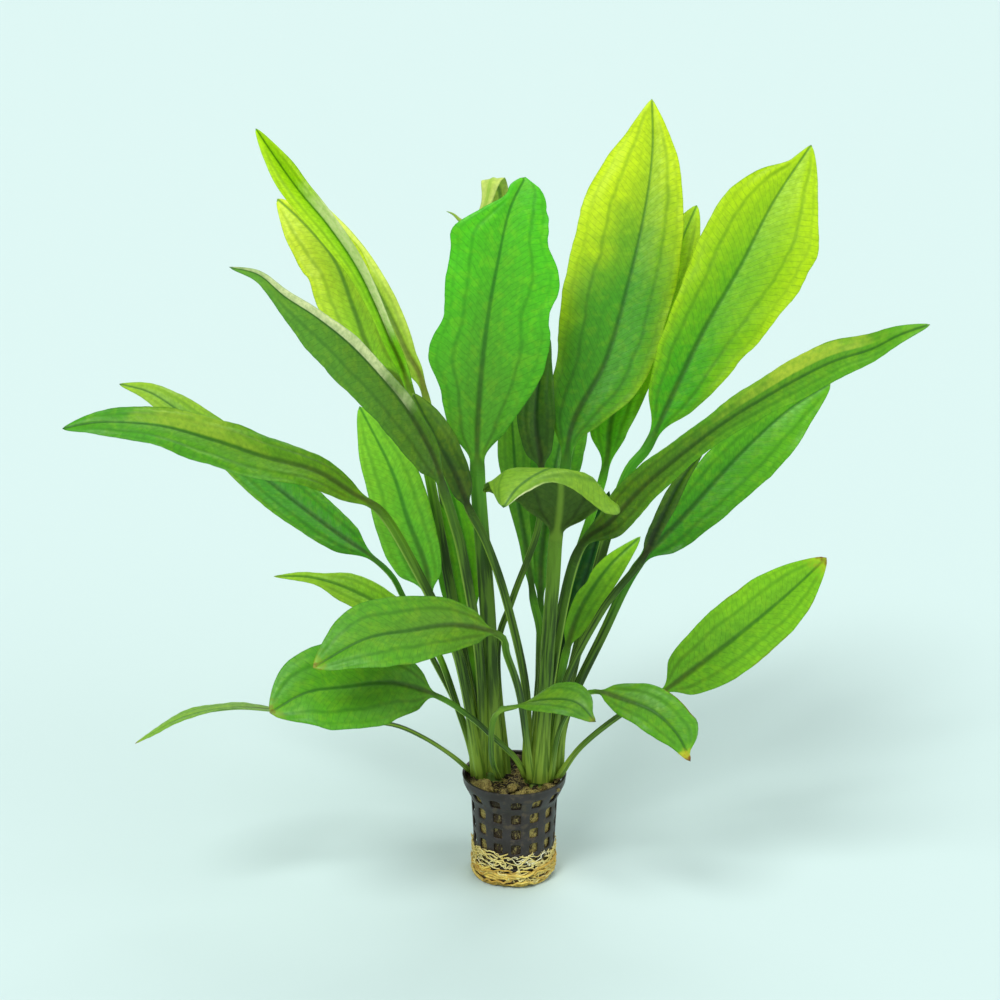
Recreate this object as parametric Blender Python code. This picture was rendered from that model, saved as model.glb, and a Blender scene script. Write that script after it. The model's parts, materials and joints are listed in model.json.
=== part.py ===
"""Potted amazon sword plant: a basket pot with its soil plug and root mat, two crowns and their leaves.

Sizes are real ones. The origin is the centre of the flat underside on which the pot rests, +Z is up,
and the plant's broadside faces -Y. Each leaf grew as one piece with its petiole and is one solid.
"""

import math
from typing import NamedTuple

import bmesh
import bpy
from mathutils import Vector, noise

MM = 0.001
GAP = 0.35 * MM  # clearance between pieces that rest against each other

# Basket pot
POT_SIDES = 28  # two sides to each column of windows
POT_TURN = math.radians(2.0 - 90.0 - 0.5 * 360.0 / POT_SIDES)  # a window column looks to the front
RIM_RADIUS = 27.5 * MM
RIM_Z = 58.0 * MM
LIP_RADIUS = 27.2 * MM
LIP_Z = 53.0 * MM
BODY_TOP_RADIUS = 23.0 * MM
BODY_TOP_Z = 45.0 * MM
FOOT_RADIUS = 21.0 * MM
FOOT_Z = 5.0 * MM
WALL = 1.2 * MM
WINDOW_ROWS = 5
WINDOW_PITCH = 9.0 * MM
WINDOW_HEIGHT = 5.2 * MM
TOP_WINDOW_Z = 49.8 * MM  # centre of the highest row, which lies on the flare

# Soil plug
SOIL_TOP_Z = 52.6 * MM
SOIL_RELIEF = 3.0 * MM
SOIL_LUMP = 9.0 * MM  # width of one clump

# Root mat round the foot of the pot
MAT_REST_RADIUS = 19.5 * MM
MAT_RADIUS = 23.1 * MM
MAT_OFFSET = -0.7 * MM  # more roots hang on the left
MAT_SWELL = 0.5 * MM
MAT_TOP_Z = 16.5 * MM
MAT_TOP_RAGGED = 3.0 * MM

# Crowns
CROWN_RADIUS = 10.0 * MM
CROWN_SHOULDER = 9.0 * MM
CROWN_HEIGHT = 2.6 * MM
CROWN_SIDES = 16
CROWNS = {"left": Vector((-13.0 * MM, 3.0 * MM)), "right": Vector((13.5 * MM, -1.0 * MM))}
CROWN_Z = SOIL_TOP_Z + GAP
PETIOLE_Z = CROWN_Z + CROWN_HEIGHT + GAP

# Leaves
BLADE_HALF_THICKNESS = 0.40 * MM
TIP_HALF_THICKNESS = 0.25 * MM
FOOT_SHARE = 0.7  # width of the petiole at its foot, against its width further up
PETIOLE_STEPS = (0.0, 0.3, 0.65)
BLADE_STEPS = (0.0, 0.05, 0.12, 0.22, 0.34, 0.46, 0.58, 0.70, 0.82, 0.92, 0.975)
CURVE_STEPS = 10  # points read from each span of a leaf's curve

YELLOW_GREEN = (0.38, 0.64, 0.03)
PALE_GREEN = (0.30, 0.55, 0.06)
BRIGHT_GREEN = (0.22, 0.52, 0.05)
MID_GREEN = (0.14, 0.43, 0.05)
OLIVE_GREEN = (0.15, 0.35, 0.05)
DARK_GREEN = (0.08, 0.22, 0.04)

FRONT = ((0.0, -1.0, 0.35),)


class Leaf(NamedTuple):
    """One leaf. Places are in millimetres, and half-widths are across the blade from its midrib.

    foot is measured from the crown's centre. petiole lists the bends below the blade, and blade runs
    from its base to its tip. left and right are half-widths at equal steps between these two, seen with
    the upper face in front and the tip up. faces are the directions that the upper face looks
    in, spread evenly from base to tip. stalk is the petiole's half-width and half-thickness. inner and
    outer are the angles by which the halves of the blade rise beside the midrib and then at the margin.
    blunt is 0 for a straight-sided tip and 1 for a round one.
    """

    name: str
    crown: str
    foot: tuple
    petiole: tuple
    blade: tuple
    left: tuple
    right: tuple
    faces: tuple = FRONT
    stalk: tuple = (2.0, 1.5)
    inner: float = 12.0
    outer: float = 0.0
    blunt: float = 0.3
    colour: tuple = MID_GREEN


LEAVES = (
    Leaf("leaf_folded_upper_left", "left", (-4.6, 0.0), ((-33, 2, 160),),
         ((-51, 14, 255), (-64, 19, 291), (-78, 24, 322), (-93, 29, 344), (-108, 35, 361), (-120, 40, 377),
          (-130, 45, 391)),
         (5, 6, 8, 11, 12, 10), (4.5, 5.5, 6.5, 7.5, 8.5, 8.5), stalk=(2.7, 1.9), inner=50.0, outer=45.0),
    Leaf("leaf_pale_upper_left", "left", (-2.3, 3.4), ((-33, 20, 148),),
         ((-53, 35, 250), (-72, 39, 272), (-82, 47, 295), (-93, 60, 320), (-110, 71, 338), (-124, 80, 349)),
         (8, 12, 16, 18, 17, 12), (10, 14, 15, 15, 13, 8), stalk=(2.4, 1.7), colour=PALE_GREEN),
    Leaf("leaf_pale_behind_left", "left", (0.0, 6.8), ((-30, 28, 150),),
         ((-46, 52, 247), (-57, 62, 272), (-70, 76, 296), (-85, 92, 318), (-106, 110, 343)),
         (6, 9, 11, 11, 9, 5), (3, 6, 7, 7, 6, 4), stalk=(2.2, 1.6), colour=PALE_GREEN),
    Leaf("leaf_long_left", "left", (-2.9, -3.6), ((-18, -7, 124), (-26, -14, 182), (-31, -20, 206)),
         ((-35, -26, 222), (-41, -36, 246), (-51, -46, 269), (-61, -55, 286), (-76, -66, 307),
          (-91, -76, 323), (-105, -84, 335), (-116, -88, 346), (-129, -90, 350)),
         (12, 17, 19, 20, 17.5, 6), (5, 5.5, 5, 5, 4, 3), faces=((0.45, -0.75, 0.4),), stalk=(2.8, 1.9),
         colour=OLIVE_GREEN),
    Leaf("leaf_arch_left", "left", (-4.6, -6.8), ((-27, -16, 121), (-35, -23, 149), (-53, -26, 189)),
         ((-66, -27, 212), (-79, -29, 222), (-98, -33, 236), (-123, -38, 245), (-146, -41, 254),
          (-171, -44, 262), (-199, -45, 264), (-218, -45, 261)),
         (8, 12, 16, 16, 13, 9), (7, 10, 12, 12, 11, 8), faces=((0.2, -0.6, 0.8),), stalk=(2.6, 1.8),
         colour=OLIVE_GREEN),
    Leaf("leaf_back_arch_left", "left", (-4.6, 6.8), ((-31, 14, 91), (-44, 20, 116), (-58, 27, 145)),
         ((-69, 31, 162), (-100, 41, 182), (-133, 54, 204), (-166, 69, 226), (-193, 81, 242),
          (-214, 90, 246)),
         (11, 14, 14, 12, 10, 7), (10, 14, 15, 13, 11, 8), faces=((0.2, -0.6, 0.8),), stalk=(1.6, 1.3)),
    Leaf("leaf_bright_left", "left", (-6.9, -3.4), ((-25, -7, 110), (-32, -9, 137)),
         ((-43, -10, 159), (-45, -11, 177), (-54, -9, 202), (-62, -5, 227), (-78, 1, 259)),
         (13, 17, 17, 16, 14, 9), (7, 11, 13, 13, 12, 8), stalk=(2.7, 1.9)),
    Leaf("leaf_slim_left_high", "left", (2.3, 3.4), ((-17, 11, 101),),
         ((-21, 15, 138), (-25, 22, 170), (-32, 31, 200), (-43, 40, 228)),
         (4, 6, 7, 7, 6, 4), (4, 6, 7, 7, 6, 4), stalk=(2.2, 1.6), colour=BRIGHT_GREEN),
    Leaf("leaf_slim_left_low", "left", (0.0, 0.0), ((-18, 4, 98),),
         ((-22, 5, 123), (-30, 7, 152), (-35, 9, 180), (-41, 12, 208)),
         (4, 6, 7, 7, 6, 4), (5, 7, 8, 8, 7, 4), stalk=(2.2, 1.6)),
    Leaf("leaf_dark_leaning_left", "right", (-6.9, 3.4), ((6, -3, 106), (-4, -8, 157), (-14, -12, 190)),
         ((-23, -13, 209), (-30, -14, 228), (-40, -14, 248), (-51, -13, 270)),
         (5, 6, 6, 6, 5, 4), (6, 8, 9, 10, 9, 6), faces=((0.4, -0.8, 0.3),), stalk=(2.2, 1.6),
         colour=DARK_GREEN),
    Leaf("leaf_broad_centre", "left", (3.0, -3.2), ((-13, -1, 128), (-16, -2, 178)),
         ((-19, -2, 227), (-18, 0, 263), (-14, 4, 301), (-9, 9, 329), (-3, 15, 355), (5, 20, 371)),
         (10, 15, 18, 21, 27, 26.5, 22, 23, 24, 24.5, 25, 14, 2),
         (9, 15, 21, 27, 31, 32.5, 31.5, 30.5, 32.8, 30.5, 23.5, 20.5, 15.5), stalk=(4.0, 2.4), blunt=0.95,
         colour=OLIVE_GREEN),
    Leaf("leaf_hooked_behind", "left", (4.6, 6.8), ((-12, 19, 137), (-19, 46, 240)),
         ((-11, 67, 292), (-6, 80, 314), (-6, 90, 331), (-7.5, 97, 347), (-10, 97, 355.5),
          (-12.5, 89, 356), (-15, 83, 346), (-20, 80, 338), (-27, 79, 337), (-32, 79, 341),
          (-36, 80, 342.5)),
         (7, 9, 9, 9, 6.5, 5, 6, 3.5, 1.8, 1.2), (7, 9, 9, 8, 5.5, 5, 6, 3.5, 1.8, 1.2),
         faces=((0.0, -1.0, 0.35), (0.0, -1.0, 0.35), (0.0, -1.0, 0.35), (0.0, -1.0, 0.35),
                (0.0, -1.0, 0.35), (0.0, -0.6, -1.0), (0.0, 0.8, -1.0), (0.0, 1.0, 0.0), (0.0, 1.0, 0.0)),
         stalk=(2.4, 1.7), inner=0.0, colour=PALE_GREEN),
    Leaf("leaf_tall", "right", (-2.3, 3.4), ((17, 11, 129),),
         ((26, 25, 218), (31, 33, 243), (47, 44, 271), (59, 59, 309), (68, 75, 345), (72, 88, 373),
          (72, 100, 398)),
         (16, 26, 32, 33, 32, 21), (13, 23, 24, 24, 20, 13), stalk=(3.0, 2.1), blunt=0.1,
         colour=PALE_GREEN),
    Leaf("leaf_wide_right", "right", (6.9, 3.4), ((33, 15, 121), (55, 25, 207)),
         ((69, 28, 230), (83, 35, 259), (97, 43, 287), (116, 53, 319), (133, 64, 350), (153, 75, 378)),
         (6, 12, 15.5, 18, 19.5, 21, 23, 25, 25.5, 25, 21.5, 14.7, 4.5),
         (6, 13, 18, 22, 25, 28, 30, 32, 33, 33, 28, 20.7, 12.5), stalk=(2.8, 1.9), blunt=0.2,
         colour=YELLOW_GREEN),
    Leaf("leaf_between_tall", "right", (2.3, 3.4), ((24, 30, 132),),
         ((47, 51, 205), (52, 63, 236), (67, 82, 279), (85, 101, 312), (99, 120, 338)),
         (10, 14, 16, 17, 15, 10), (9, 14, 17, 18, 16, 11), stalk=(2.4, 1.7), colour=PALE_GREEN),
    Leaf("leaf_arching_front", "right", (0.4, -6.8), ((17, -21, 142), (19, -26, 176)),
         ((20, -28, 198), (22, -27, 215), (22, -33, 232), (18, -47, 242), (9, -62, 243), (0, -72, 239),
          (-6, -78, 232)),
         (14, 25, 33, 19, 8, 5), (15, 24, 31, 39, 35, 23),
         faces=((0.0, 1.0, 0.0), (0.0, 1.0, 0.2), (0.0, 0.2, 1.0), (-0.2, -0.4, 0.9), (-0.3, -0.6, 0.8)),
         stalk=(3.6, 2.3), inner=-5.0, outer=-36.0, colour=PALE_GREEN),
    Leaf("leaf_reaching_right", "right", (1.8, -3.2), ((18, -11, 111),),
         ((30, -20, 185), (48, -27, 208), (66, -34, 231), (89, -44, 255), (104, -51, 269), (118, -57, 280),
          (133, -63, 291), (148, -69, 301), (163, -75, 308), (175, -80, 316), (188, -84, 322)),
         (10, 10, 8, 9.5, 11, 8), (10, 10, 8, 9.5, 11, 8), faces=((-0.3, -0.7, 0.65),), stalk=(2.8, 1.9),
         colour=DARK_GREEN),
    Leaf("leaf_long_right", "right", (9.2, 0.0), ((27, -2, 92), (46, 4, 135)),
         ((63, 9, 170), (87, 14, 196), (115, 20, 227), (139, 25, 249), (162, 30, 263)),
         (9, 12, 13, 13, 11, 6), (10, 14, 17, 19, 18, 12), stalk=(2.6, 1.8)),
    Leaf("leaf_shadow_right", "right", (5.4, -3.6), ((25, -10, 109), (44, -9, 152)),
         ((64, -9, 180), (71, -12, 198), (82, -16, 224), (94, -20, 244)),
         (3, 3.5, 4, 4, 3, 2), (3, 3.5, 4, 4, 3, 2), stalk=(2.0, 1.5), colour=DARK_GREEN),
    Leaf("leaf_slim_right", "right", (4.6, 0.0), ((22, 2, 95),),
         ((27, 4, 125), (34, 5, 148), (48, 8, 170), (65, 12, 186)),
         (4, 5, 6, 6, 5, 3), (5, 8, 9, 9, 8, 5), stalk=(2.2, 1.6), colour=PALE_GREEN),
    Leaf("leaf_low_right", "right", (9.0, -3.8), ((35, -7, 76), (56, -12, 97)),
         ((73.5, -17, 109.5), (92, -22.5, 127), (113, -29, 148), (135, -36, 172), (153, -42, 194)),
         (11.5, 16, 18, 18, 16.5, 11), (10.5, 15.5, 17, 16.5, 15, 10), faces=((-0.2, -1.0, 0.4),),
         stalk=(1.6, 1.3)),
    Leaf("leaf_drooping_right", "right", (5.2, -6.8), ((23, -24, 93), (32, -34, 114)),
         ((40, -41, 122), (54, -51, 122), (69, -60, 119), (80, -67, 110), (86, -74, 99)),
         (6, 10, 13, 13, 12, 8), (5, 9, 11, 12, 10, 6), faces=((0.0, -0.7, 0.8),), stalk=(1.3, 1.1)),
    Leaf("leaf_small_front", "left", (4.6, -6.8), ((-12, -31, 83),),
         ((-10, -39, 108), (3, -51, 119), (17, -62, 127), (30, -71, 129), (39, -78, 122)),
         (8, 11, 13, 13, 12, 7), (4, 7, 10, 12, 12, 9),
         faces=((0.2, 0.6, 0.8), (0.0, -0.3, 1.0), (0.0, -0.6, 0.9)),
         stalk=(1.5, 1.2), colour=OLIVE_GREEN),
    Leaf("leaf_low_left_upper", "right", (-4.6, -6.8), ((3, -28, 112), (-4, -40, 141)),
         ((-8, -47, 155), (-30, -57, 164), (-51, -66, 165), (-73, -75, 164), (-97, -86, 154)),
         (9, 15, 18, 19, 18, 11), (9, 15, 18, 19, 18, 11), faces=((0.0, -0.7, 0.8),), stalk=(1.9, 1.5),
         colour=OLIVE_GREEN),
    Leaf("leaf_low_left_lower", "right", (-6.9, -3.4), ((0, -16, 74), (-12, -24, 90), (-22, -31, 103)),
         ((-38, -39, 118), (-60, -49, 130), (-85, -59, 132), (-103, -66, 132), (-120, -74, 125)),
         (12, 19, 23, 23, 22, 16), (9, 17, 23, 24, 22, 15), faces=((0.0, -0.8, 0.7),), stalk=(1.5, 1.2),
         colour=OLIVE_GREEN),
    Leaf("leaf_edge_on_left", "left", (-9.2, 0.0),
         ((-33, -3, 69), (-48, -6, 81), (-64, -12, 91), (-86, -17, 95)),
         ((-110, -21, 101), (-126, -25, 105), (-145, -30, 108), (-168, -37, 106), (-192, -45, 95)),
         (5, 8, 10, 10, 9, 6), (5, 8, 10, 10, 9, 6), faces=((0.0, 0.2, 1.0),), stalk=(1.5, 1.2),
         colour=OLIVE_GREEN),
    Leaf("leaf_pointed_left", "left", (-6.9, 3.4), ((-28, 8, 85),),
         ((-44, 13, 128), (-68, 18, 144), (-88, 23, 153), (-108, 29, 157), (-128, 36, 155)),
         (6, 9, 10, 9, 5, 3), (6, 9, 10, 9, 4, 2.5), faces=((0.1, -0.6, 0.8),), stalk=(1.8, 1.4)),
    Leaf("leaf_dark_behind", "left", (9.2, 0.0), ((-9, 12, 120), (-1, 16, 150), (12, 22, 186)),
         ((14, 26, 216), (11, 31, 243), (13, 37, 265), (18, 43, 284)),
         (7, 9, 10, 9, 7, 4), (6, 9, 10, 9, 7, 4), stalk=(1.8, 1.4), colour=DARK_GREEN),
    Leaf("leaf_bright_behind", "right", (-4.6, 6.8), ((14, 20, 120),),
         ((10, 26, 146), (6, 36, 173), (2, 44, 195), (0, 53, 217), (-2, 65, 247)),
         (2.7, 3.5, 5, 7, 9, 6.5), (2.7, 3.5, 5, 7, 9, 6.5), stalk=(2.2, 1.5), colour=BRIGHT_GREEN),
    Leaf("leaf_back_centre", "right", (0.0, 6.8), ((13, 20, 90),),
         ((14, 38, 135), (15, 54, 163), (21, 75, 197), (28, 97, 223), (35, 125, 255)),
         (6, 10, 13, 14, 13, 8), (6, 10, 13, 14, 13, 8), stalk=(2.0, 1.5)),
    Leaf("leaf_blue_green_behind", "right", (4.6, 6.8), ((20, 18, 83),),
         ((25, 30, 113), (32, 39, 134), (40, 48, 156), (46, 54, 177), (51, 60, 195)),
         (4, 6, 7, 7, 6, 4), (4, 6, 7, 7, 6, 4), stalk=(1.6, 1.3), colour=DARK_GREEN),
)


def clear_scene():
    for thing in list(bpy.data.objects):
        bpy.data.objects.remove(thing, do_unlink=True)


def material(name, colour, roughness):
    made = bpy.data.materials.new(name)
    made.use_nodes = True
    shader = made.node_tree.nodes["Principled BSDF"]
    shader.inputs["Base Color"].default_value = (*colour, 1.0)
    shader.inputs["Roughness"].default_value = roughness
    shader.inputs["Metallic"].default_value = 0.0
    made.diffuse_color = (*colour, 1.0)
    return made


def finish(bm, name, parent, colour, roughness):
    """Turns the bmesh into an object that shades smooth where its faces meet at a shallow angle."""
    bmesh.ops.recalc_face_normals(bm, faces=bm.faces)
    mesh = bpy.data.meshes.new(name)
    bm.to_mesh(mesh)
    bm.free()
    mesh.shade_smooth()
    mesh.set_sharp_from_angle(angle=math.radians(40.0))
    made = bpy.data.objects.new(name, mesh)
    made.data.materials.append(material(name, colour, roughness))
    made.parent = parent
    bpy.context.scene.collection.objects.link(made)
    return made


def turned(profile, sides, turn):
    """Spins a profile of (radius, z) points, which starts and ends on the axis, into a closed skin."""
    bm = bmesh.new()
    start = [bm.verts.new((radius * math.cos(turn), radius * math.sin(turn), z)) for radius, z in profile]
    edges = [bm.edges.new(pair) for pair in zip(start[:-1], start[1:])]
    bmesh.ops.spin(bm, geom=start + edges, cent=(0, 0, 0), axis=(0, 0, 1), angle=math.tau,
                   steps=sides, use_merge=True, use_duplicate=False)
    bmesh.ops.remove_doubles(bm, verts=bm.verts, dist=0.001 * MM)
    return bm


def window_edges():
    """Heights of the lower and upper edge of each row of windows, from the top row down."""
    centres = [TOP_WINDOW_Z - row * WINDOW_PITCH for row in range(WINDOW_ROWS)]
    return [(z - WINDOW_HEIGHT / 2, z + WINDOW_HEIGHT / 2) for z in centres]


def pot_radius(z):
    """Outer radius of the pot: a tapering body, then the flare, then the nearly upright rim band."""
    corners = ((FOOT_Z, FOOT_RADIUS), (BODY_TOP_Z, BODY_TOP_RADIUS), (LIP_Z, LIP_RADIUS),
               (RIM_Z, RIM_RADIUS))
    index = sum(z > corner[0] for corner in corners[1:3])
    (low_z, low_radius), (high_z, high_radius) = corners[index:index + 2]
    return low_radius + (z - low_z) / (high_z - low_z) * (high_radius - low_radius)


def side_of(face):
    """Number of the pot side that a face belongs to, counted from the start of the spin."""
    centre = face.calc_center_median()
    turn = (math.atan2(centre.y, centre.x) - POT_TURN) % math.tau
    return int(turn / (math.tau / POT_SIDES))


def net_pot(parent):
    levels = {RIM_Z, LIP_Z, BODY_TOP_Z, FOOT_Z, *(z for pair in window_edges() for z in pair)}
    outer = [(pot_radius(z), z) for z in sorted(levels, reverse=True)]
    inner = [(radius - WALL, z) for radius, z in outer[:-1]]
    inner.append((FOOT_RADIUS - WALL, FOOT_Z + WALL))
    profile = [(0.0, FOOT_Z), *reversed(outer), *inner, (0.0, FOOT_Z + WALL)]
    bm = turned(profile, POT_SIDES, POT_TURN)
    for low, high in window_edges():
        for column in range(0, POT_SIDES, 2):
            pair = [f for f in bm.faces if len(f.verts) == 4 and side_of(f) == column
                    and low < f.calc_center_median().z < high]
            rims = [edge for face in pair for edge in face.edges]
            bmesh.ops.delete(bm, geom=pair, context="FACES_ONLY")
            bmesh.ops.bridge_loops(bm, edges=rims)
    return finish(bm, "net_pot", parent, (0.012, 0.012, 0.014), 0.42)


def relief(x, y, width):
    """Smooth bumps between -1 and 1."""
    return noise.noise(Vector((x / width, y / width, 3.7)))


def soil_height(x, y):
    """The plug's top: clumps between the crowns and the rim, and level where a crown sits."""
    nearest = min((Vector((x, y)) - centre).length for centre in CROWNS.values())
    clear = min(1.0, max(0.0, (nearest - CROWN_RADIUS - 3.0 * MM) / (2.5 * MM)))
    lump = 0.35 + relief(x, y, SOIL_LUMP)
    return SOIL_TOP_Z + clear * SOIL_RELIEF * lump


def inside_pot(z):
    """Radius that the plug may fill at this height."""
    return pot_radius(z) - WALL - GAP


def substrate(parent):
    foot_z = FOOT_Z + WALL + GAP
    wall_z = SOIL_TOP_Z - SOIL_RELIEF
    profile = [(0.0, foot_z), *[(inside_pot(z), z) for z in (foot_z, BODY_TOP_Z, wall_z)]]
    profile += [(inside_pot(wall_z) * share, SOIL_TOP_Z) for share in (0.93, 0.78, 0.60, 0.42, 0.22)]
    profile.append((0.0, SOIL_TOP_Z))
    bm = turned(profile, POT_SIDES, POT_TURN)
    for vert in bm.verts:
        if vert.co.z > SOIL_TOP_Z - 0.01 * MM:
            vert.co.z = soil_height(vert.co.x, vert.co.y)
    return finish(bm, "substrate", parent, (0.11, 0.085, 0.03), 0.95)


def root_mat(parent):
    inner_low = FOOT_Z - GAP
    inner_radius = FOOT_RADIUS + GAP
    shelf = MAT_TOP_Z - 1.0 * MM
    profile = [(0.0, 0.0), (MAT_REST_RADIUS, 0.0), (MAT_RADIUS - 0.4 * MM, 2.6 * MM),
               (MAT_RADIUS + 0.2 * MM, 6.5 * MM), (MAT_RADIUS, 11.5 * MM), (MAT_RADIUS, MAT_TOP_Z),
               (pot_radius(shelf) + GAP, shelf), (inner_radius, inner_low), (0.0, inner_low)]
    bm = turned(profile, POT_SIDES, POT_TURN)
    for vert in bm.verts:
        radius = math.hypot(vert.co.x, vert.co.y)
        outside = radius > MAT_RADIUS - 1.0 * MM and vert.co.z > 1.0 * MM
        if vert.co.z > shelf - 0.01 * MM:
            vert.co.z += MAT_TOP_RAGGED * relief(vert.co.x, vert.co.y, 7.0 * MM)
            if not outside:
                fit = (pot_radius(vert.co.z) + GAP) / radius
                vert.co.x *= fit
                vert.co.y *= fit
        if outside:
            swell = 1.0 + MAT_SWELL * relief(vert.co.x, vert.co.y + 2.0 * vert.co.z, 8.0 * MM) / radius
            vert.co.x = vert.co.x * swell + MAT_OFFSET
            vert.co.y *= swell
    return finish(bm, "root_mat", parent, (0.52, 0.36, 0.10), 0.7)


def crown(side, parent):
    """The short stem from which the petioles of one side grow."""
    bm = bmesh.new()
    bmesh.ops.create_cone(bm, cap_ends=True, segments=CROWN_SIDES, radius1=CROWN_RADIUS,
                          radius2=CROWN_SHOULDER, depth=CROWN_HEIGHT)
    made = finish(bm, "crown_" + side, parent, (0.35, 0.40, 0.12), 0.6)
    made.location = (*CROWNS[side], CROWN_Z + CROWN_HEIGHT / 2)
    return made


def smooth_curve(points):
    """Points along a curve that passes through all of the given ones."""
    ends = [2 * points[0] - points[1], *points, 2 * points[-1] - points[-2]]
    line = []
    for a, b, c, d in zip(ends, ends[1:], ends[2:], ends[3:]):
        for step in range(CURVE_STEPS):
            t = step / CURVE_STEPS
            line.append(0.5 * (2 * b + (c - a) * t + (2 * a - 5 * b + 4 * c - d) * t * t
                               + (3 * b - a - 3 * c + d) * t * t * t))
    return [*line, points[-1]]


class Line:
    """A leaf's midline, read by the share of its length."""

    def __init__(self, points):
        self.points = points
        self.reach = [0.0]
        for a, b in zip(points, points[1:]):
            self.reach.append(self.reach[-1] + (b - a).length)

    def at(self, share):
        target = share * self.reach[-1]
        for index in range(len(self.points) - 1):
            if self.reach[index + 1] >= target or index == len(self.points) - 2:
                span = self.reach[index + 1] - self.reach[index]
                t = min(1.0, (target - self.reach[index]) / span)
                return self.points[index].lerp(self.points[index + 1], t)

    def heading(self, share):
        step = 0.02
        return (self.at(min(1.0, share + step)) - self.at(max(0.0, share - step))).normalized()


def spread(values, share):
    """Value at this share of the way through a list of evenly spaced ones."""
    place = share * (len(values) - 1)
    index = min(int(place), len(values) - 2) if len(values) > 1 else 0
    if len(values) == 1:
        return values[0]
    return values[index] + (values[index + 1] - values[index]) * (place - index)


def rounded(values, share):
    """As spread, on a curve instead of straight runs."""
    place = share * (len(values) - 1)
    index = min(int(place), len(values) - 2)
    t = place - index
    a, b = values[max(0, index - 1)], values[index]
    c, d = values[index + 1], values[min(len(values) - 1, index + 2)]
    return 0.5 * (2 * b + (c - a) * t + (2 * a - 5 * b + 4 * c - d) * t * t
                  + (3 * b - a - 3 * c + d) * t * t * t)


def half_width(side, blunt, share):
    """Distance from the midrib to the margin on one side, which closes at the tip."""
    beyond = share * (len(side) + 1) - len(side)
    if beyond > 0.0:
        return side[-1] * ((1.0 - blunt) * (1.0 - beyond) + blunt * math.sqrt(1.0 - beyond * beyond))
    return rounded((0.0, *side, 0.0), share)


def section(centre, heading, face, left, right, stalk, flat, thin, leaf):
    """Eight points round a leaf: an oval at the petiole (flat 0) and a thin blade further on (flat 1)."""
    upper = (face - face.dot(heading) * heading).normalized()
    across = heading.cross(upper)
    wide, thick = stalk
    inner, outer = math.radians(leaf.inner) * flat, math.radians(leaf.outer) * flat
    ring = []
    for way, half in ((1, right), (-1, left)):
        middle = Vector((half * 0.5 * math.cos(inner), half * 0.5 * math.sin(inner)))
        margin = middle + Vector((half * 0.5 * math.cos(outer), half * 0.5 * math.sin(outer)))
        oval = Vector((wide * 0.72, 0.0))
        middle = oval.lerp(middle, flat)
        margin = Vector((wide, 0.0)).lerp(margin, flat)
        depth = thick * 0.72 + (thin - thick * 0.72) * flat
        points = [margin, middle + Vector((0.0, depth)), middle - Vector((0.0, depth))]
        ring.append([centre + across * way * p.x + upper * p.y for p in points])
    (right_edge, right_top, right_low), (left_edge, left_top, left_low) = ring
    rib = thick + (thin * 1.6 - thick) * flat
    return [right_edge, right_top, centre + upper * thick * (1 - flat) + upper * thin * flat,
            left_top, left_edge, left_low, centre - upper * rib, right_low]


def leaf_rings(leaf):
    """Sections of one leaf from its foot to near its tip, and the tip itself."""
    foot = Vector((*CROWNS[leaf.crown], PETIOLE_Z)) + Vector((*leaf.foot, 0.0)) * MM
    below = [Vector(p) * MM for p in leaf.petiole]
    above = [Vector(p) * MM for p in leaf.blade]
    points = smooth_curve([foot, *below, *above])
    neck = (len(below) + 1) * CURVE_STEPS
    petiole, blade = Line(points[:neck + 1]), Line(points[neck:])
    faces = [Vector(face).normalized() for face in leaf.faces]
    wide, thick = (size * MM for size in leaf.stalk)
    rings = []
    for share in PETIOLE_STEPS:
        girth = FOOT_SHARE + (1.0 - FOOT_SHARE) * min(1.0, share / 0.3)
        heading = petiole.heading(share) if share else Vector((0.0, 0.0, 1.0))
        rings.append(section(petiole.at(share), heading, faces[0], 0.0, 0.0,
                             (wide * girth, thick * girth), 0.0, 0.0, leaf))
    for share in BLADE_STEPS:
        flat = min(1.0, share / 0.12)
        half = [max(0.2, half_width(side, leaf.blunt, share)) * MM for side in (leaf.left, leaf.right)]
        thin = BLADE_HALF_THICKNESS + (TIP_HALF_THICKNESS - BLADE_HALF_THICKNESS) * share
        oval = (wide * (1.0 - 0.7 * share), thick * (1.0 - 0.7 * share))
        rings.append(section(blade.at(share), blade.heading(share), spread(faces, share), *half, oval,
                             flat, thin, leaf))
    return rings, blade.at(1.0)


def grow(leaf, parent):
    bm = bmesh.new()
    rings, tip = leaf_rings(leaf)
    loops = [[bm.verts.new(point) for point in ring] for ring in rings]
    for low, high in zip(loops, loops[1:]):
        for k in range(len(low)):
            near, far, beyond, above = low[k - 1], low[k], high[k], high[k - 1]
            if 1 <= k <= 4:  # the upper side, whose creases run as those of the lower side do
                halves = ((near, far, beyond), (near, beyond, above))
            else:
                halves = ((near, far, above), (far, beyond, above))
            for half in halves:
                bm.faces.new(half)
    bm.faces.new(loops[0])
    point = bm.verts.new(tip)
    for k in range(len(loops[-1])):
        bm.faces.new((loops[-1][k - 1], loops[-1][k], point))
    return finish(bm, leaf.name, parent, leaf.colour, 0.38)


def main():
    clear_scene()
    plant = bpy.data.objects.new("potted_plant", None)
    bpy.context.scene.collection.objects.link(plant)
    net_pot(plant)
    substrate(plant)
    root_mat(plant)
    for side in CROWNS:
        crown(side, plant)
    for leaf in LEAVES:
        grow(leaf, plant)


main()
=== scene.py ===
"""Looks of a potted amazon sword plant: its leaves, crowns, basket pot, soil, roots and a plain stage.

Run as a script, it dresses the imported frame. Each operator makes one piece or one group of like pieces,
and the sidebar panel lists them in the order in which they run. Lengths are in metres unless a name or
a comment says millimetres.
"""

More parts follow.
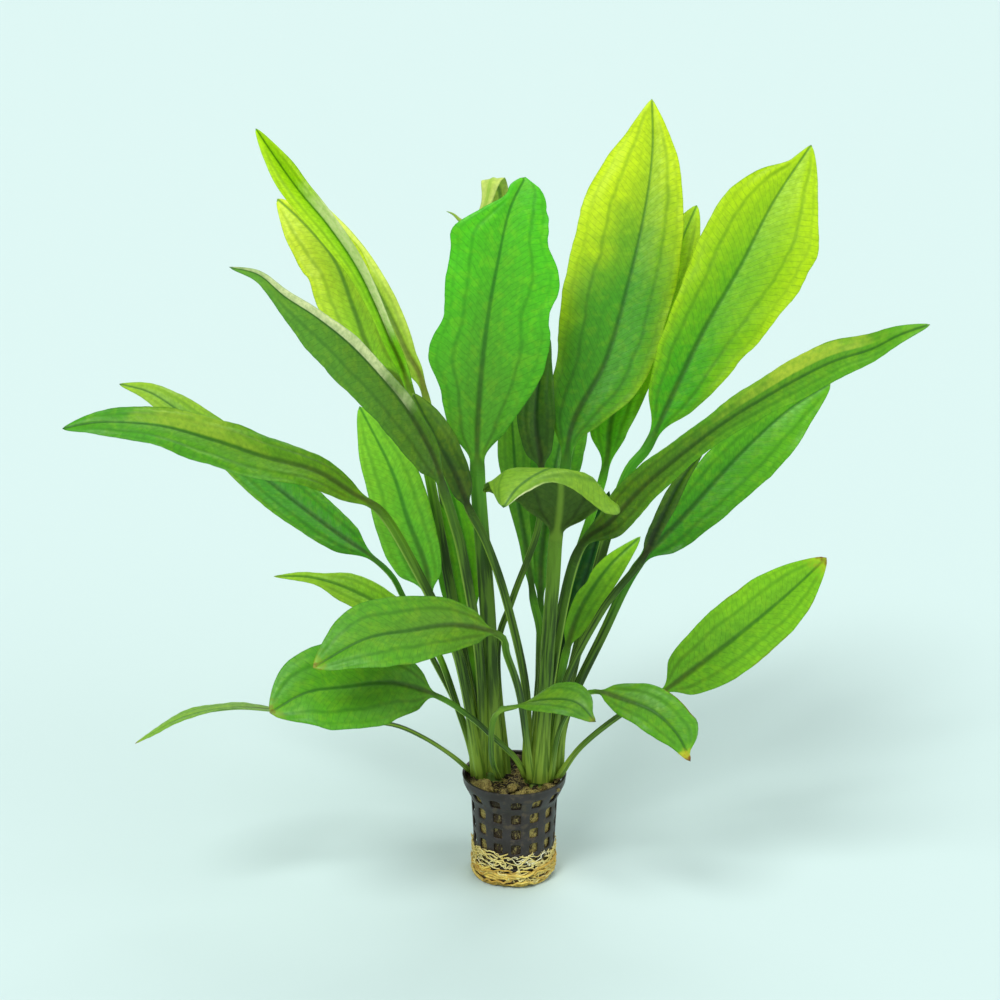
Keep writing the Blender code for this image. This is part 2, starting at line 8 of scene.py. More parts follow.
import json
import math
import random
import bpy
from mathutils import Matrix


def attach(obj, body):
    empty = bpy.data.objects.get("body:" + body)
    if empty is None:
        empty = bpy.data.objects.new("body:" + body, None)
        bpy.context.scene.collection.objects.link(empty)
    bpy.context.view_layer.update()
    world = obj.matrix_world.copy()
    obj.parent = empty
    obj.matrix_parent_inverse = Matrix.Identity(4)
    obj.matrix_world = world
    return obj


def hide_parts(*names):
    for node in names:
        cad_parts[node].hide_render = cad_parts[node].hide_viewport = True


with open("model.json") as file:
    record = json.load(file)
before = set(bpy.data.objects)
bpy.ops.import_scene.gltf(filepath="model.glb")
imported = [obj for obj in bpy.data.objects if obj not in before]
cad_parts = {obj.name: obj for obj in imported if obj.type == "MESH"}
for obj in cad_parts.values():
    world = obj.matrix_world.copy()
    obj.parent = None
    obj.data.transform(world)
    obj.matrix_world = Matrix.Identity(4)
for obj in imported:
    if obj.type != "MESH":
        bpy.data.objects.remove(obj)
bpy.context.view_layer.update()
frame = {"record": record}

from types import SimpleNamespace
from typing import NamedTuple

import bmesh
import bpy
from mathutils import Matrix, Vector, noise

bl_info = {
    "name": "Potted sword plant",
    "version": (1, 0, 0),
    "blender": (4, 5, 0),
    "location": "View3D > Sidebar > Sword plant",
    "description": "Makes a sword plant in a basket pot, with its soil, roots and stage",
    "category": "Object",
}

MM = 0.001
BODY = "root"


def paint(red, green, blue):
    """Scene colour for a screen colour given as three numbers up to 255."""
    channels = []
    for value in (red, green, blue):
        share = value / 255.0
        channels.append(share / 12.92 if share <= 0.04045 else ((share + 0.055) / 1.055) ** 2.4)
    return tuple(channels)


# Leaf colours
# Painted glow: the lime of the tall leaf's tip is partly light shining through it
LIME_GLOW = paint(206, 236, 0)
FRESH = paint(108, 190, 22)
MID = paint(74, 146, 26)
OLIVE = paint(84, 130, 22)
# Painted shade: a dark green for leaves that lie in shade
SHADE = paint(56, 92, 16)
TEAL = paint(34, 100, 34)
# Painted highlight: whitish green where a blade curves towards the light
SHEEN_PALE = paint(226, 232, 168)
# Painted sheen on a band where a blade catches the light, and on the reaching leaf also its yellow margin
STRAW_TINT_AND_SHEEN = paint(176, 196, 52)
STALK = paint(84, 120, 32)
STALK_DARK = paint(44, 70, 18)
# Painted highlight on the stalks' edges; the same pale green is the real pale midrib of a lower face
RIB_AND_STALK_HIGHLIGHT = paint(146, 184, 56)
STALK_BASE = paint(156, 186, 66)
BROWN = paint(122, 78, 20)
YELLOWED = paint(214, 200, 36)

# What a blade's own colour is multiplied by, and for its cells what is added to it
VEIN_SHADE = (0.26, 0.42, 0.55)
BASE_VEIN_SHADE = (0.40, 0.26, 0.40)
# Painted shade: UNDER_SHADE darkens the lower faces as if turned from the light
UNDER_SHADE = (0.45, 0.48, 0.45)
FINE_TINT = paint(84, 112, 60)
CELL_GLOW = (0.09, 0.10, 0.0)

# Pot, soil and roots
CHARCOAL = paint(40, 32, 26)
# A lighter purple-grey that the plastic takes in broad patches
GREYED_CHARCOAL = paint(70, 66, 70)
DUST = paint(98, 86, 66)
PEAT = paint(58, 45, 26)
WOOL = paint(176, 156, 84)
FIBRE = paint(206, 188, 112)
ROOT_DIRT = paint(96, 62, 26)
ROOT_LOOKS = {  # dark and light colour, and how far dirt covers them
    # The pad's dark browns are the felt's own dirty colour and partly painted shade in the gaps between the
    # strands
    "pad": (paint(48, 34, 16), paint(110, 84, 36), 0.7),
    "thick": (paint(182, 138, 42), paint(242, 216, 104), 0.35),
    "fine": (paint(206, 180, 84), paint(250, 238, 164), 0.3),
    "white": (paint(232, 214, 130), paint(240, 236, 206), 0.1),
    "wool": (WOOL, FIBRE, 0.3),
}

# Basket pot, as in the solids
POT_COLUMNS = 14
WINDOW_STEPS = 2  # spin steps over a window, and as many again over the web beside it
POT_TURN = math.radians(2.0 - 90.0 - 180.0 / POT_COLUMNS / 2.0)  # a window column looks to the front
RIM_RADIUS = 27.5 * MM
RIM_Z = 58.0 * MM
LIP_RADIUS = 27.2 * MM
LIP_Z = 53.0 * MM
BODY_TOP_RADIUS = 23.0 * MM
BODY_TOP_Z = 45.0 * MM
FOOT_RADIUS = 21.0 * MM
FOOT_Z = 5.0 * MM
WALL = 1.2 * MM
WINDOW_ROWS = 5
WINDOW_PITCH = 9.0 * MM
WINDOW_HEIGHT = 5.2 * MM
TOP_WINDOW_Z = 49.8 * MM  # centre of the highest row
WINDOW_CREASE = 0.75  # keeps the corners of the windows from rounding off

# Crowns
CROWN_RADIUS = 10.0 * MM
CROWN_HEIGHT = 6.5 * MM
CROWNS = {"left": Vector((-13.0 * MM, 3.0 * MM)), "right": Vector((13.5 * MM, -1.0 * MM))}
PETIOLE_Z = 55.9 * MM

# Soil
SOIL_TOP_Z = 52.6 * MM
SOIL_STEPS = 8 * POT_COLUMNS
SOIL_RINGS = 16
CRUMBS = 620
CRUMB_RADII_MM = (0.4, 0.5, 0.7, 0.9, 1.2, 1.6)
CRUMB_TONES = (0.0, 0.0, 0.15, 0.5, 0.9)  # from 0 for peat to 1 for pale wool
WOOL_FIBRES = 260
WOOL_LUMPS = (  # place and radius in millimetres, height against width, and tone
    (-16.2, -13.6, 55.4, 4.4, 0.85, 0.85),
    (-5.6, -19.0, 53.8, 3.4, 0.7, 0.35),
    (3.6, -19.6, 54.2, 2.6, 0.8, 0.7),
    (9.5, -18.2, 54.4, 2.4, 0.7, 0.9),
    (18.2, -12.6, 54.8, 3.6, 0.6, 0.55),
    (22.0, -4.4, 55.0, 2.6, 0.7, 0.4),
    (-1.2, -13.4, 55.2, 2.6, 0.7, 0.8),
    (-20.6, -5.4, 55.2, 2.6, 0.8, 0.3),
    (-22.8, 2.4, 54.4, 3.0, 0.8, 0.1),
    (0.6, 21.6, 54.2, 3.6, 0.7, 0.1),
    (-8.0, 21.0, 53.8, 3.2, 0.7, 0.0),
)


class RootKind(NamedTuple):
    """One kind of root round the pot. span is how far it runs, in radians, and wander how far it strays.

    thick is its radius and proud how far it stands out. Lengths are in millimetres.
    """

    count: int
    span: tuple
    thick: tuple
    proud: tuple
    wander: float
    steps: int


# Roots
PAD_RADIUS = 22.3 * MM
PAD_TOP_Z = 8.6 * MM
PAD_STEPS = 120
ROOT_TOP_Z = 21.0 * MM
ROOT_END_Z = 20.5 * MM
ROOT_LOW_Z = 0.8 * MM
GOLDEN_ANGLE = 2.39996  # spreads roots evenly round the pot
ROOT_KINDS = {
    "thick": RootKind(64, (0.5, 1.7), (0.34, 0.86), (0.4, 1.6), 2.4, 22),
    "fine": RootKind(150, (0.2, 0.85), (0.22, 0.50), (0.2, 1.4), 2.6, 18),
    "white": RootKind(34, (0.15, 0.45), (0.20, 0.30), (0.3, 1.2), 2.4, 14),
}
UNDERSIDE_ROOTS = 46

# Stage
FLOOR_RADIUS = 9.0
SURROUND_COLOUR = (0.90, 1.0, 0.98, 1.0)
LIGHTS = (  # name, direction towards the light, width in degrees and share of the power
    ("main_light", (-0.45, -0.75, 1.30), 24.0, 1.0),
    ("side_light", (1.1, -0.6, 0.9), 45.0, 0.30),
    ("back_light", (0.25, 0.8, 1.1), 45.0, 0.45),
)
LENS = 78.0  # focal length, in millimetres of a 36 mm sensor
PLANT_MIDDLE = Vector((-7.6, 0.0, 209.8)) * MM

# How finely a leaf is divided
HALF_ACROSS = (0.0, 0.045, 0.11, 0.20, 0.31, 0.42, 0.51, 0.57, 0.65, 0.75, 0.85, 0.94, 1.0)
HALF_STEPS = len(HALF_ACROSS) - 1
RING_STEPS = 4 * HALF_STEPS
CURVE_STEPS = 12
PETIOLE_PITCH_MM = 4.0
PETIOLE_LEAST_ROWS = 8
BLADE_PITCH_MM = 1.7
BLADE_LEAST_ROWS = 30
LEAF_SEED_STEP = 13.7  # keeps the leaves' ruffles apart
LEAF_SHARP = math.radians(70.0)
FLATTEN_SHARE = 0.14  # share of the blade in which the stalk's oval becomes flat
MERGE_DISTANCE = 0.001 * MM
LEAF_LAYERS = ("across", "along", "reach", "half", "upper")  # what a vertex tells the material

# Relief of a blade
MIDRIB_DEPTH = 0.28 * MM  # on the upper face
MIDRIB_KEEL = 0.25 * MM  # on the lower face, past half the stalk's thickness
SIDE_VEIN = 0.56  # place of the strongest side vein, from midrib 0 to margin 1
SIDE_VEIN_DEPTH = 0.07 * MM
QUILT_HEIGHT = 0.10 * MM
QUILT_PITCH_MM = 6.5
CROSS_VEIN_PITCH_MM = 3.6

FRONT = ((0.0, -1.0, 0.35),)


class Leaf(NamedTuple):
    """One leaf. Places are in millimetres, and half-widths are across the blade from its midrib.

    name is its node's name without leaf_ in front, and crown the one that it grows from. foot is measured
    from the crown's centre. petiole lists the bends below the blade, and blade runs from its base to its
    tip. left and right are half-widths at equal steps between these two, seen with the upper face in
    front and the tip up. faces are the directions that the upper face looks in. stalk is the petiole's
    half-width and half-thickness. inner and outer are the angles by which the halves of the blade rise
    beside the midrib and at the margin. blunt is 1 for a round tip. deep and light colour the blade's
    base and tip; on the tall and wide leaves the tip's lime is partly painted glow, light shining through
    it. brown is how far the tip has withered, and wave how far the margins roll. under is how much darker
    the lower face is, painted shade on the face turned from the light. pale is a paler patch on one half,
    a painted highlight where the blade curves towards the light, and on the reaching leaf also its yellow
    margin: (side, start and end along the blade, share of the half where it begins, strength, colour).
    fade is how strong the tip's colour is at the margins. turn holds the shares of length between which
    one colour gives way to the other, and lean how much sooner that is on the right. core is how far the
    base's colour follows the midrib. swells widen or narrow one side: (side, share of length, spread,
    millimetres). curls bend its margin up or down in the same terms.
    """

    name: str
    crown: str
    foot: tuple
    petiole: tuple
    blade: tuple
    left: tuple
    right: tuple
    faces: tuple = FRONT
    stalk: tuple = (2.0, 1.5)
    inner: float = 12.0
    outer: float = 0.0
    blunt: float = 0.3
    deep: tuple = MID
    light: tuple = FRESH
    brown: float = 0.0
    wave: float = 1.0
    under: float = 0.15
    pale: tuple = ()
    fade: float = 0.35
    core: float = 0.55
    turn: tuple = (0.10, 0.90)
    lean: float = 0.0
    swells: tuple = ()
    curls: tuple = ()


LEAVES = (
    Leaf("folded_upper_left", "left", (-4.6, 0.0), ((-33, 2, 160),),
         ((-51, 14, 255), (-64, 19, 291), (-78, 24, 322), (-93, 29, 344), (-108, 35, 361), (-120, 40, 377),
          (-130, 45, 391)),
         (5, 6, 8, 11, 12, 10), (4.5, 5.5, 6.5, 7.5, 8.5, 8.5), stalk=(2.7, 1.9), inner=50.0, outer=45.0,
         deep=paint(132, 210, 30), light=paint(186, 232, 20), pale=("right", 0.12, 0.80, 0.02, 1.0, SHEEN_PALE)),
    Leaf("pale_upper_left", "left", (-2.3, 3.4), ((-33, 20, 148),),
         ((-53, 35, 250), (-72, 39, 272), (-82, 47, 295), (-93, 60, 320), (-110, 71, 338), (-124, 80, 349)),
         (8, 12, 16, 18, 17, 12), (10, 14, 15, 15, 13, 8), stalk=(2.4, 1.7),
         deep=paint(140, 206, 40), light=paint(216, 238, 40),
         swells=(("left", 0.62, 0.05, -1.5), ("right", 0.5, 0.04, -1.5))),
    Leaf("pale_behind_left", "left", (0.0, 6.8), ((-30, 28, 150),),
         ((-46, 52, 247), (-57, 62, 272), (-70, 76, 296), (-85, 92, 318), (-106, 110, 343)),
         (6, 9, 11, 11, 9, 5), (3, 6, 7, 7, 6, 4), stalk=(2.2, 1.6),
         deep=paint(184, 222, 70), light=paint(230, 244, 90)),
    Leaf("long_left", "left", (-2.9, -3.6), ((-18, -7, 124), (-26, -14, 182), (-31, -20, 206)),
         ((-35, -26, 222), (-41, -36, 246), (-51, -46, 269), (-61, -55, 286), (-76, -66, 307),
          (-91, -76, 323), (-105, -84, 335), (-116, -88, 346), (-129, -90, 350)),
         (12, 17, 19, 20, 17.5, 6), (5, 5.5, 5, 5, 4, 3), faces=((0.45, -0.75, 0.4),), stalk=(2.8, 1.9),
         deep=OLIVE, light=paint(96, 160, 40), wave=1.2, pale=("right", 0.30, 1.1, 0.02, 1.0, SHEEN_PALE)),
    Leaf("arch_left", "left", (-4.6, -6.8), ((-27, -16, 121), (-35, -23, 149), (-53, -26, 189)),
         ((-66, -27, 212), (-79, -29, 222), (-98, -33, 236), (-123, -38, 245), (-146, -41, 254),
          (-171, -44, 262), (-199, -45, 264), (-218, -45, 261)),
         (8, 12, 16, 16, 13, 9), (7, 10, 12, 12, 11, 8), faces=((0.2, -0.6, 0.8),), stalk=(2.6, 1.8),
         deep=paint(94, 148, 8), light=paint(70, 156, 4), wave=1.4,
         pale=("right", 0.34, 0.86, 0.05, 0.5, STRAW_TINT_AND_SHEEN)),
    Leaf("back_arch_left", "left", (-4.6, 6.8), ((-31, 14, 91), (-44, 20, 116), (-58, 27, 145)),
         ((-69, 31, 162), (-100, 41, 182), (-133, 54, 204), (-166, 69, 226), (-193, 81, 242),
          (-214, 90, 246)),
         (11, 14, 14, 12, 10, 7), (10, 14, 15, 13, 11, 8), faces=((0.2, -0.6, 0.8),), stalk=(1.6, 1.3),
         deep=paint(60, 148, 12), light=paint(146, 190, 34), turn=(0.55, 0.9)),
    Leaf("bright_left", "left", (-6.9, -3.4), ((-25, -7, 110), (-32, -9, 137)),
         ((-43, -10, 159), (-45, -11, 177), (-54, -9, 202), (-62, -5, 227), (-78, 1, 259)),
         (13, 17, 17, 16, 14, 9), (7, 11, 13, 13, 12, 8), stalk=(2.7, 1.9),
         deep=paint(106, 196, 40), light=paint(136, 210, 44), wave=1.6),
    Leaf("slim_left_high", "left", (2.3, 3.4), ((-17, 11, 101),),
         ((-21, 15, 138), (-25, 22, 170), (-32, 31, 200), (-43, 40, 228)),
         (4, 6, 7, 7, 6, 4), (4, 6, 7, 7, 6, 4), stalk=(2.2, 1.6),
         deep=FRESH, light=FRESH),
    Leaf("slim_left_low", "left", (0.0, 0.0), ((-18, 4, 98),),
         ((-22, 5, 123), (-30, 7, 152), (-35, 9, 180), (-41, 12, 208)),
         (4, 6, 7, 7, 6, 4), (5, 7, 8, 8, 7, 4), stalk=(2.2, 1.6),
         deep=FRESH, light=FRESH),
    Leaf("dark_leaning_left", "right", (-6.9, 3.4), ((6, -3, 106), (-4, -8, 157), (-14, -12, 190)),
         ((-23, -13, 209), (-30, -14, 228), (-40, -14, 248), (-51, -13, 270)),
         (5, 6, 6, 6, 5, 4), (6, 8, 9, 10, 9, 6), faces=((0.4, -0.8, 0.3),), stalk=(2.2, 1.6),
         deep=SHADE, light=OLIVE),
    Leaf("broad_centre", "left", (3.0, -3.2), ((-13, -1, 128), (-16, -2, 178)),
         ((-19, -2, 227), (-18, 0, 263), (-14, 4, 301), (-9, 9, 329), (-3, 15, 355), (5, 20, 371)),
         (10, 15, 18, 21, 27, 26.5, 22, 23, 24, 24.5, 25, 14, 2),
         (9, 15, 21, 27, 31, 32.5, 31.5, 30.5, 32.8, 30.5, 23.5, 20.5, 15.5), stalk=(4.0, 2.4), blunt=0.95,
         deep=paint(84, 158, 32), light=paint(82, 200, 22), wave=1.2,
         swells=(("left", 0.95, 0.04, 3.2), ("right", 0.92, 0.06, 1.8))),
    Leaf("hooked_behind", "left", (4.6, 6.8), ((-12, 19, 137), (-19, 46, 240)),
         ((-11, 67, 292), (-6, 80, 314), (-6, 90, 331), (-7.5, 97, 347), (-10, 97, 355.5),
          (-12.5, 89, 356), (-15, 83, 346), (-20, 80, 338), (-27, 79, 337), (-32, 79, 341),
          (-36, 80, 342.5)),
         (7, 9, 9, 9, 6.5, 5, 6, 3.5, 1.8, 1.2), (7, 9, 9, 8, 5.5, 5, 6, 3.5, 1.8, 1.2),
         faces=((0.0, -1.0, 0.35), (0.0, -1.0, 0.35), (0.0, -1.0, 0.35), (0.0, -1.0, 0.35),
                (0.0, -1.0, 0.35), (0.0, -0.6, -1.0), (0.0, 0.8, -1.0), (0.0, 1.0, 0.0), (0.0, 1.0, 0.0)),
         stalk=(2.4, 1.7), inner=0.0,
         deep=paint(176, 214, 60), light=paint(206, 222, 110), wave=0.3, fade=0.2),
    # Painted glow: the lime tips of this leaf and the next stand partly for light shining through them
    Leaf("tall", "right", (-2.3, 3.4), ((17, 11, 129),),
         ((26, 25, 218), (31, 33, 243), (47, 44, 271), (59, 59, 309), (68, 75, 345), (72, 88, 373),
          (72, 100, 398)),
         (16, 26, 32, 33, 32, 21), (13, 23, 24, 24, 20, 13), stalk=(3.0, 2.1), blunt=0.1,
         deep=paint(72, 154, 24), light=LIME_GLOW, wave=0.7, turn=(0.42, 0.92), lean=-0.10, fade=0.6),
    Leaf("wide_right", "right", (6.9, 3.4), ((33, 15, 121), (55, 25, 207)),
         ((69, 28, 230), (83, 35, 259), (97, 43, 287), (116, 53, 319), (133, 64, 350), (153, 75, 378)),
         (6, 12, 15.5, 18, 19.5, 21, 23, 25, 25.5, 25, 21.5, 14.7, 4.5),
         (6, 13, 18, 22, 25, 28, 30, 32, 33, 33, 28, 20.7, 12.5), stalk=(2.8, 1.9), blunt=0.2,
         deep=paint(66, 164, 10), light=paint(186, 226, 0), turn=(0.12, 1.0), fade=0.8, core=0.55),
    Leaf("between_tall", "right", (2.3, 3.4), ((24, 30, 132),),
         ((47, 51, 205), (52, 63, 236), (67, 82, 279), (85, 101, 312), (99, 120, 338)),
         (10, 14, 16, 17, 15, 10), (9, 14, 17, 18, 16, 11), stalk=(2.4, 1.7),
         deep=paint(110, 214, 24), light=paint(200, 240, 16)),
    # Painted shade darkens this leaf's lower face, and a painted highlight lies along its left margin
    Leaf("arching_front", "right", (0.4, -6.8), ((17, -21, 142), (19, -26, 176)),
         ((20, -28, 198), (22, -27, 215), (22, -33, 232), (18, -47, 242), (9, -62, 243), (0, -72, 239),
          (-6, -78, 232)),
         (14, 25, 33, 19, 8, 5), (15, 24, 31, 39, 35, 23),
         faces=((0.0, 1.0, 0.0), (0.0, 1.0, 0.2), (0.0, 0.2, 1.0), (-0.2, -0.4, 0.9), (-0.3, -0.6, 0.8)),
         stalk=(3.6, 2.3), inner=-5.0, outer=-36.0,
         deep=paint(120, 166, 40), light=paint(122, 168, 42), wave=1.0, under=1.15,
         pale=("left", 0.60, 1.3, 0.80, 1.0, SHEEN_PALE),
         curls=(("left", 0.46, 0.14, -11.0), ("right", 0.74, 0.16, -3.0))),
    # Painted shade: this blade's dark base green stands for the shade over its lower part
    Leaf("reaching_right", "right", (1.8, -3.2), ((18, -11, 111),),
         ((30, -20, 185), (48, -27, 208), (66, -34, 231), (89, -44, 255), (104, -51, 269), (118, -57, 280),
          (133, -63, 291), (148, -69, 301), (163, -75, 308), (175, -80, 316), (188, -84, 322)),
         (10, 10, 8, 9.5, 11, 8), (10, 10, 8, 9.5, 11, 8), faces=((-0.3, -0.7, 0.65),), stalk=(2.8, 1.9),
         deep=paint(74, 118, 20), light=paint(96, 172, 22), wave=1.3, fade=0.6,
         pale=("left", 0.48, 0.94, 0.25, 0.9, STRAW_TINT_AND_SHEEN)),
    Leaf("long_right", "right", (9.2, 0.0), ((27, -2, 92), (46, 4, 135)),
         ((63, 9, 170), (87, 14, 196), (115, 20, 227), (139, 25, 249), (162, 30, 263)),
         (9, 12, 13, 13, 11, 6), (10, 14, 17, 19, 18, 12), stalk=(2.6, 1.8),
         deep=paint(58, 142, 14), light=paint(98, 180, 20), wave=1.3),
    Leaf("shadow_right", "right", (5.4, -3.6), ((25, -10, 109), (44, -9, 152)),
         ((64, -9, 180), (71, -12, 198), (82, -16, 224), (94, -20, 244)),
         (3, 3.5, 4, 4, 3, 2), (3, 3.5, 4, 4, 3, 2), stalk=(2.0, 1.5),
         deep=SHADE, light=OLIVE, fade=0.8),
    Leaf("slim_right", "right", (4.6, 0.0), ((22, 2, 95),),
         ((27, 4, 125), (34, 5, 148), (48, 8, 170), (65, 12, 186)),
         (4, 5, 6, 6, 5, 3), (5, 8, 9, 9, 8, 5), stalk=(2.2, 1.6),
         deep=paint(96, 164, 20), light=paint(134, 198, 26), swells=(("left", 0.52, 0.06, -1.5),)),
    Leaf("low_right", "right", (9.0, -3.8), ((35, -7, 76), (56, -12, 97)),
         ((73.5, -17, 109.5), (92, -22.5, 127), (113, -29, 148), (135, -36, 172), (153, -42, 194)),
         (11.5, 16, 18, 18, 16.5, 11), (10.5, 15.5, 17, 16.5, 15, 10), faces=((-0.2, -1.0, 0.4),),
         stalk=(1.6, 1.3),
         deep=paint(96, 162, 22), light=paint(132, 202, 20), brown=0.5, wave=0.7),
    Leaf("drooping_right", "right", (5.2, -6.8), ((23, -24, 93), (32, -34, 114)),
         ((40, -41, 122), (54, -51, 122), (69, -60, 119), (80, -67, 110), (86, -74, 99)),
         (6, 10, 13, 13, 12, 8), (5, 9, 11, 12, 10, 6), faces=((0.0, -0.7, 0.8),), stalk=(1.3, 1.1),
         deep=paint(80, 142, 14), light=paint(86, 160, 16), brown=0.9,
         swells=(("left", 0.78, 0.05, 1.5), ("left", 0.93, 0.05, -3.0))),
    Leaf("small_front", "left", (4.6, -6.8), ((-12, -31, 83),),
         ((-10, -39, 108), (3, -51, 119), (17, -62, 127), (30, -71, 129), (39, -78, 122)),
         (8, 11, 13, 13, 12, 7), (4, 7, 10, 12, 12, 9),
         faces=((0.2, 0.6, 0.8), (0.0, -0.3, 1.0), (0.0, -0.6, 0.9)),
         stalk=(1.5, 1.2),
         deep=paint(104, 150, 30), light=paint(84, 144, 30), brown=0.15,
         swells=(("left", 0.93, 0.05, -2.0),)),
    Leaf("low_left_upper", "right", (-4.6, -6.8), ((3, -28, 112), (-4, -40, 141)),
         ((-8, -47, 155), (-30, -57, 164), (-51, -66, 165), (-73, -75, 164), (-97, -86, 154)),
         (9, 15, 18, 19, 18, 11), (9, 15, 18, 19, 18, 11), faces=((0.0, -0.7, 0.8),), stalk=(1.9, 1.5),
         deep=paint(88, 140, 22), light=paint(84, 158, 22), brown=0.25, wave=0.8),
    Leaf("low_left_lower", "right", (-6.9, -3.4), ((0, -16, 74), (-12, -24, 90), (-22, -31, 103)),
         ((-38, -39, 118), (-60, -49, 130), (-85, -59, 132), (-103, -66, 132), (-120, -74, 125)),
         (12, 19, 23, 23, 22, 16), (9, 17, 23, 24, 22, 15), faces=((0.0, -0.8, 0.7),), stalk=(1.5, 1.2),
         deep=paint(90, 156, 24), light=paint(84, 164, 22), brown=0.2, wave=0.8),
    Leaf("edge_on_left", "left", (-9.2, 0.0),
         ((-33, -3, 69), (-48, -6, 81), (-64, -12, 91), (-86, -17, 95)),
         ((-110, -21, 101), (-126, -25, 105), (-145, -30, 108), (-168, -37, 106), (-192, -45, 95)),
         (5, 8, 10, 10, 9, 6), (5, 8, 10, 10, 9, 6), faces=((0.0, 0.2, 1.0),), stalk=(1.5, 1.2),
         deep=paint(120, 166, 60), light=paint(128, 180, 52), brown=0.3),
    Leaf("pointed_left", "left", (-6.9, 3.4), ((-28, 8, 85),),
         ((-44, 13, 128), (-68, 18, 144), (-88, 23, 153), (-108, 29, 157), (-128, 36, 155)),
         (6, 9, 10, 9, 5, 3), (6, 9, 10, 9, 4, 2.5), faces=((0.1, -0.6, 0.8),), stalk=(1.8, 1.4),
         deep=paint(132, 206, 24), light=paint(170, 224, 44), brown=0.2),
    Leaf("dark_behind", "left", (9.2, 0.0), ((-9, 12, 120), (-1, 16, 150), (12, 22, 186)),
         ((14, 26, 216), (11, 31, 243), (13, 37, 265), (18, 43, 284)),
         (7, 9, 10, 9, 7, 4), (6, 9, 10, 9, 7, 4), stalk=(1.8, 1.4),
         deep=paint(70, 112, 30), light=paint(84, 136, 36)),
    Leaf("bright_behind", "right", (-4.6, 6.8), ((14, 20, 120),),
         ((10, 26, 146), (6, 36, 173), (2, 44, 195), (0, 53, 217), (-2, 65, 247)),
         (2.7, 3.5, 5, 7, 9, 6.5), (2.7, 3.5, 5, 7, 9, 6.5), stalk=(2.2, 1.5),
         deep=paint(88, 160, 36), light=paint(116, 184, 44)),
    Leaf("back_centre", "right", (0.0, 6.8), ((13, 20, 90),),
         ((14, 38, 135), (15, 54, 163), (21, 75, 197), (28, 97, 223), (35, 125, 255)),
         (6, 10, 13, 14, 13, 8), (6, 10, 13, 14, 13, 8), stalk=(2.0, 1.5),
         deep=paint(84, 160, 30), light=paint(96, 176, 36)),
    Leaf("blue_green_behind", "right", (4.6, 6.8), ((20, 18, 83),),
         ((25, 30, 113), (32, 39, 134), (40, 48, 156), (46, 54, 177), (51, 60, 195)),
         (4, 6, 7, 7, 6, 4), (4, 6, 7, 7, 6, 4), stalk=(1.6, 1.3),
         deep=TEAL, light=TEAL),
)


# Growth of a leaf

def curve_through(a, b, c, d, t):
    """Point or number at share t of the way from b to c, on a smooth curve through all four."""
    return 0.5 * (2 * b + (c - a) * t + (2 * a - 5 * b + 4 * c - d) * t * t
                  + (3 * b - a - 3 * c + d) * t * t * t)


def smooth_curve(points):
    """Points along a curve that passes through all of the given ones."""
    ends = [2 * points[0] - points[1], *points, 2 * points[-1] - points[-2]]
    line = []
    for four in zip(ends, ends[1:], ends[2:], ends[3:]):
        line += [curve_through(*four, step / CURVE_STEPS) for step in range(CURVE_STEPS)]
    return [*line, points[-1]]


class Line:
    """A midline, read by the share of its length."""

    def __init__(self, points):
        self.points = points
        self.reach = [0.0]
        for a, b in zip(points, points[1:]):
            self.reach.append(self.reach[-1] + (b - a).length)
        self.length = self.reach[-1]

    def at(self, share):
        """Point at this share of the length."""
        target = share * self.length
        for index in range(len(self.points) - 1):
            if self.reach[index + 1] >= target or index == len(self.points) - 2:
                span = self.reach[index + 1] - self.reach[index]
                t = min(1.0, (target - self.reach[index]) / span)
                return self.points[index].lerp(self.points[index + 1], t)

    def heading(self, share):
        """Direction of the midline, read over 2 % of its length to each side."""
        step = 0.02
        return (self.at(min(1.0, share + step)) - self.at(max(0.0, share - step))).normalized()


def spread(values, share):
    """Value at this share of the way through a list of evenly spaced ones."""
    if len(values) == 1:
        return values[0]
    place = share * (len(values) - 1)
    index = min(int(place), len(values) - 2)
    return values[index] + (values[index + 1] - values[index]) * (place - index)


def rounded(values, share):
    """As spread, on a curve instead of straight runs."""
    place = share * (len(values) - 1)
    index = min(int(place), len(values) - 2)
    before, after = values[max(0, index - 1)], values[min(len(values) - 1, index + 2)]
    return curve_through(before, values[index], values[index + 1], after, place - index)


def smooth(value):
    """Eases a value from 0 to 1."""
    value = min(1.0, max(0.0, value))
    return value * value * (3.0 - 2.0 * value)


def bell(place, middle, width):
    """1 in the middle, which falls off smoothly to both sides."""
    return math.exp(-((place - middle) / width) ** 2)


def ruffle(*place):
    """Smooth noise between about -1 and 1."""
    return noise.noise(Vector(place))


def half_width(leaf, side, share):
    """Distance in millimetres from the midrib to the margin on one side, which closes at the tip."""
    steps = leaf.left if side == "left" else leaf.right
    beyond = share * (len(steps) + 1) - len(steps)
    if beyond > 0.0:
        half = steps[-1] * ((1.0 - leaf.blunt) * (1.0 - beyond) + leaf.blunt * math.sqrt(1.0 - beyond ** 2))
    else:
        half = rounded((0.0, *steps, 0.0), share)
    for where, middle, width, change in leaf.swells:
        if where == side:
            half += change * bell(share, middle, width)
    return max(0.2, half) if share < 1.0 else 0.0


def ring_place(step):
    """Place across the leaf, from -1 at the left margin to 1 at the right one, and 1 on the upper face."""
    step %= RING_STEPS
    top = step <= 2 * HALF_STEPS
    index = step - HALF_STEPS if top else 3 * HALF_STEPS - step
    return math.copysign(HALF_ACROSS[abs(index)], index), top


RING = [ring_place(step) for step in range(RING_STEPS)]


def bent_half(inner, outer):
    """Unit points from the midrib to the margin of a half blade that rises by these two angles."""
    line = {0.0: (0.0, 0.0)}
    x = y = last = 0.0
    for place in HALF_ACROSS[1:]:
        angle = inner + (outer - inner) * smooth(((place + last) / 2 - 0.3) / 0.4)
        x += (place - last) * math.cos(angle)
        y += (place - last) * math.sin(angle)
        line[place] = (x, y)
        last = place
    return line


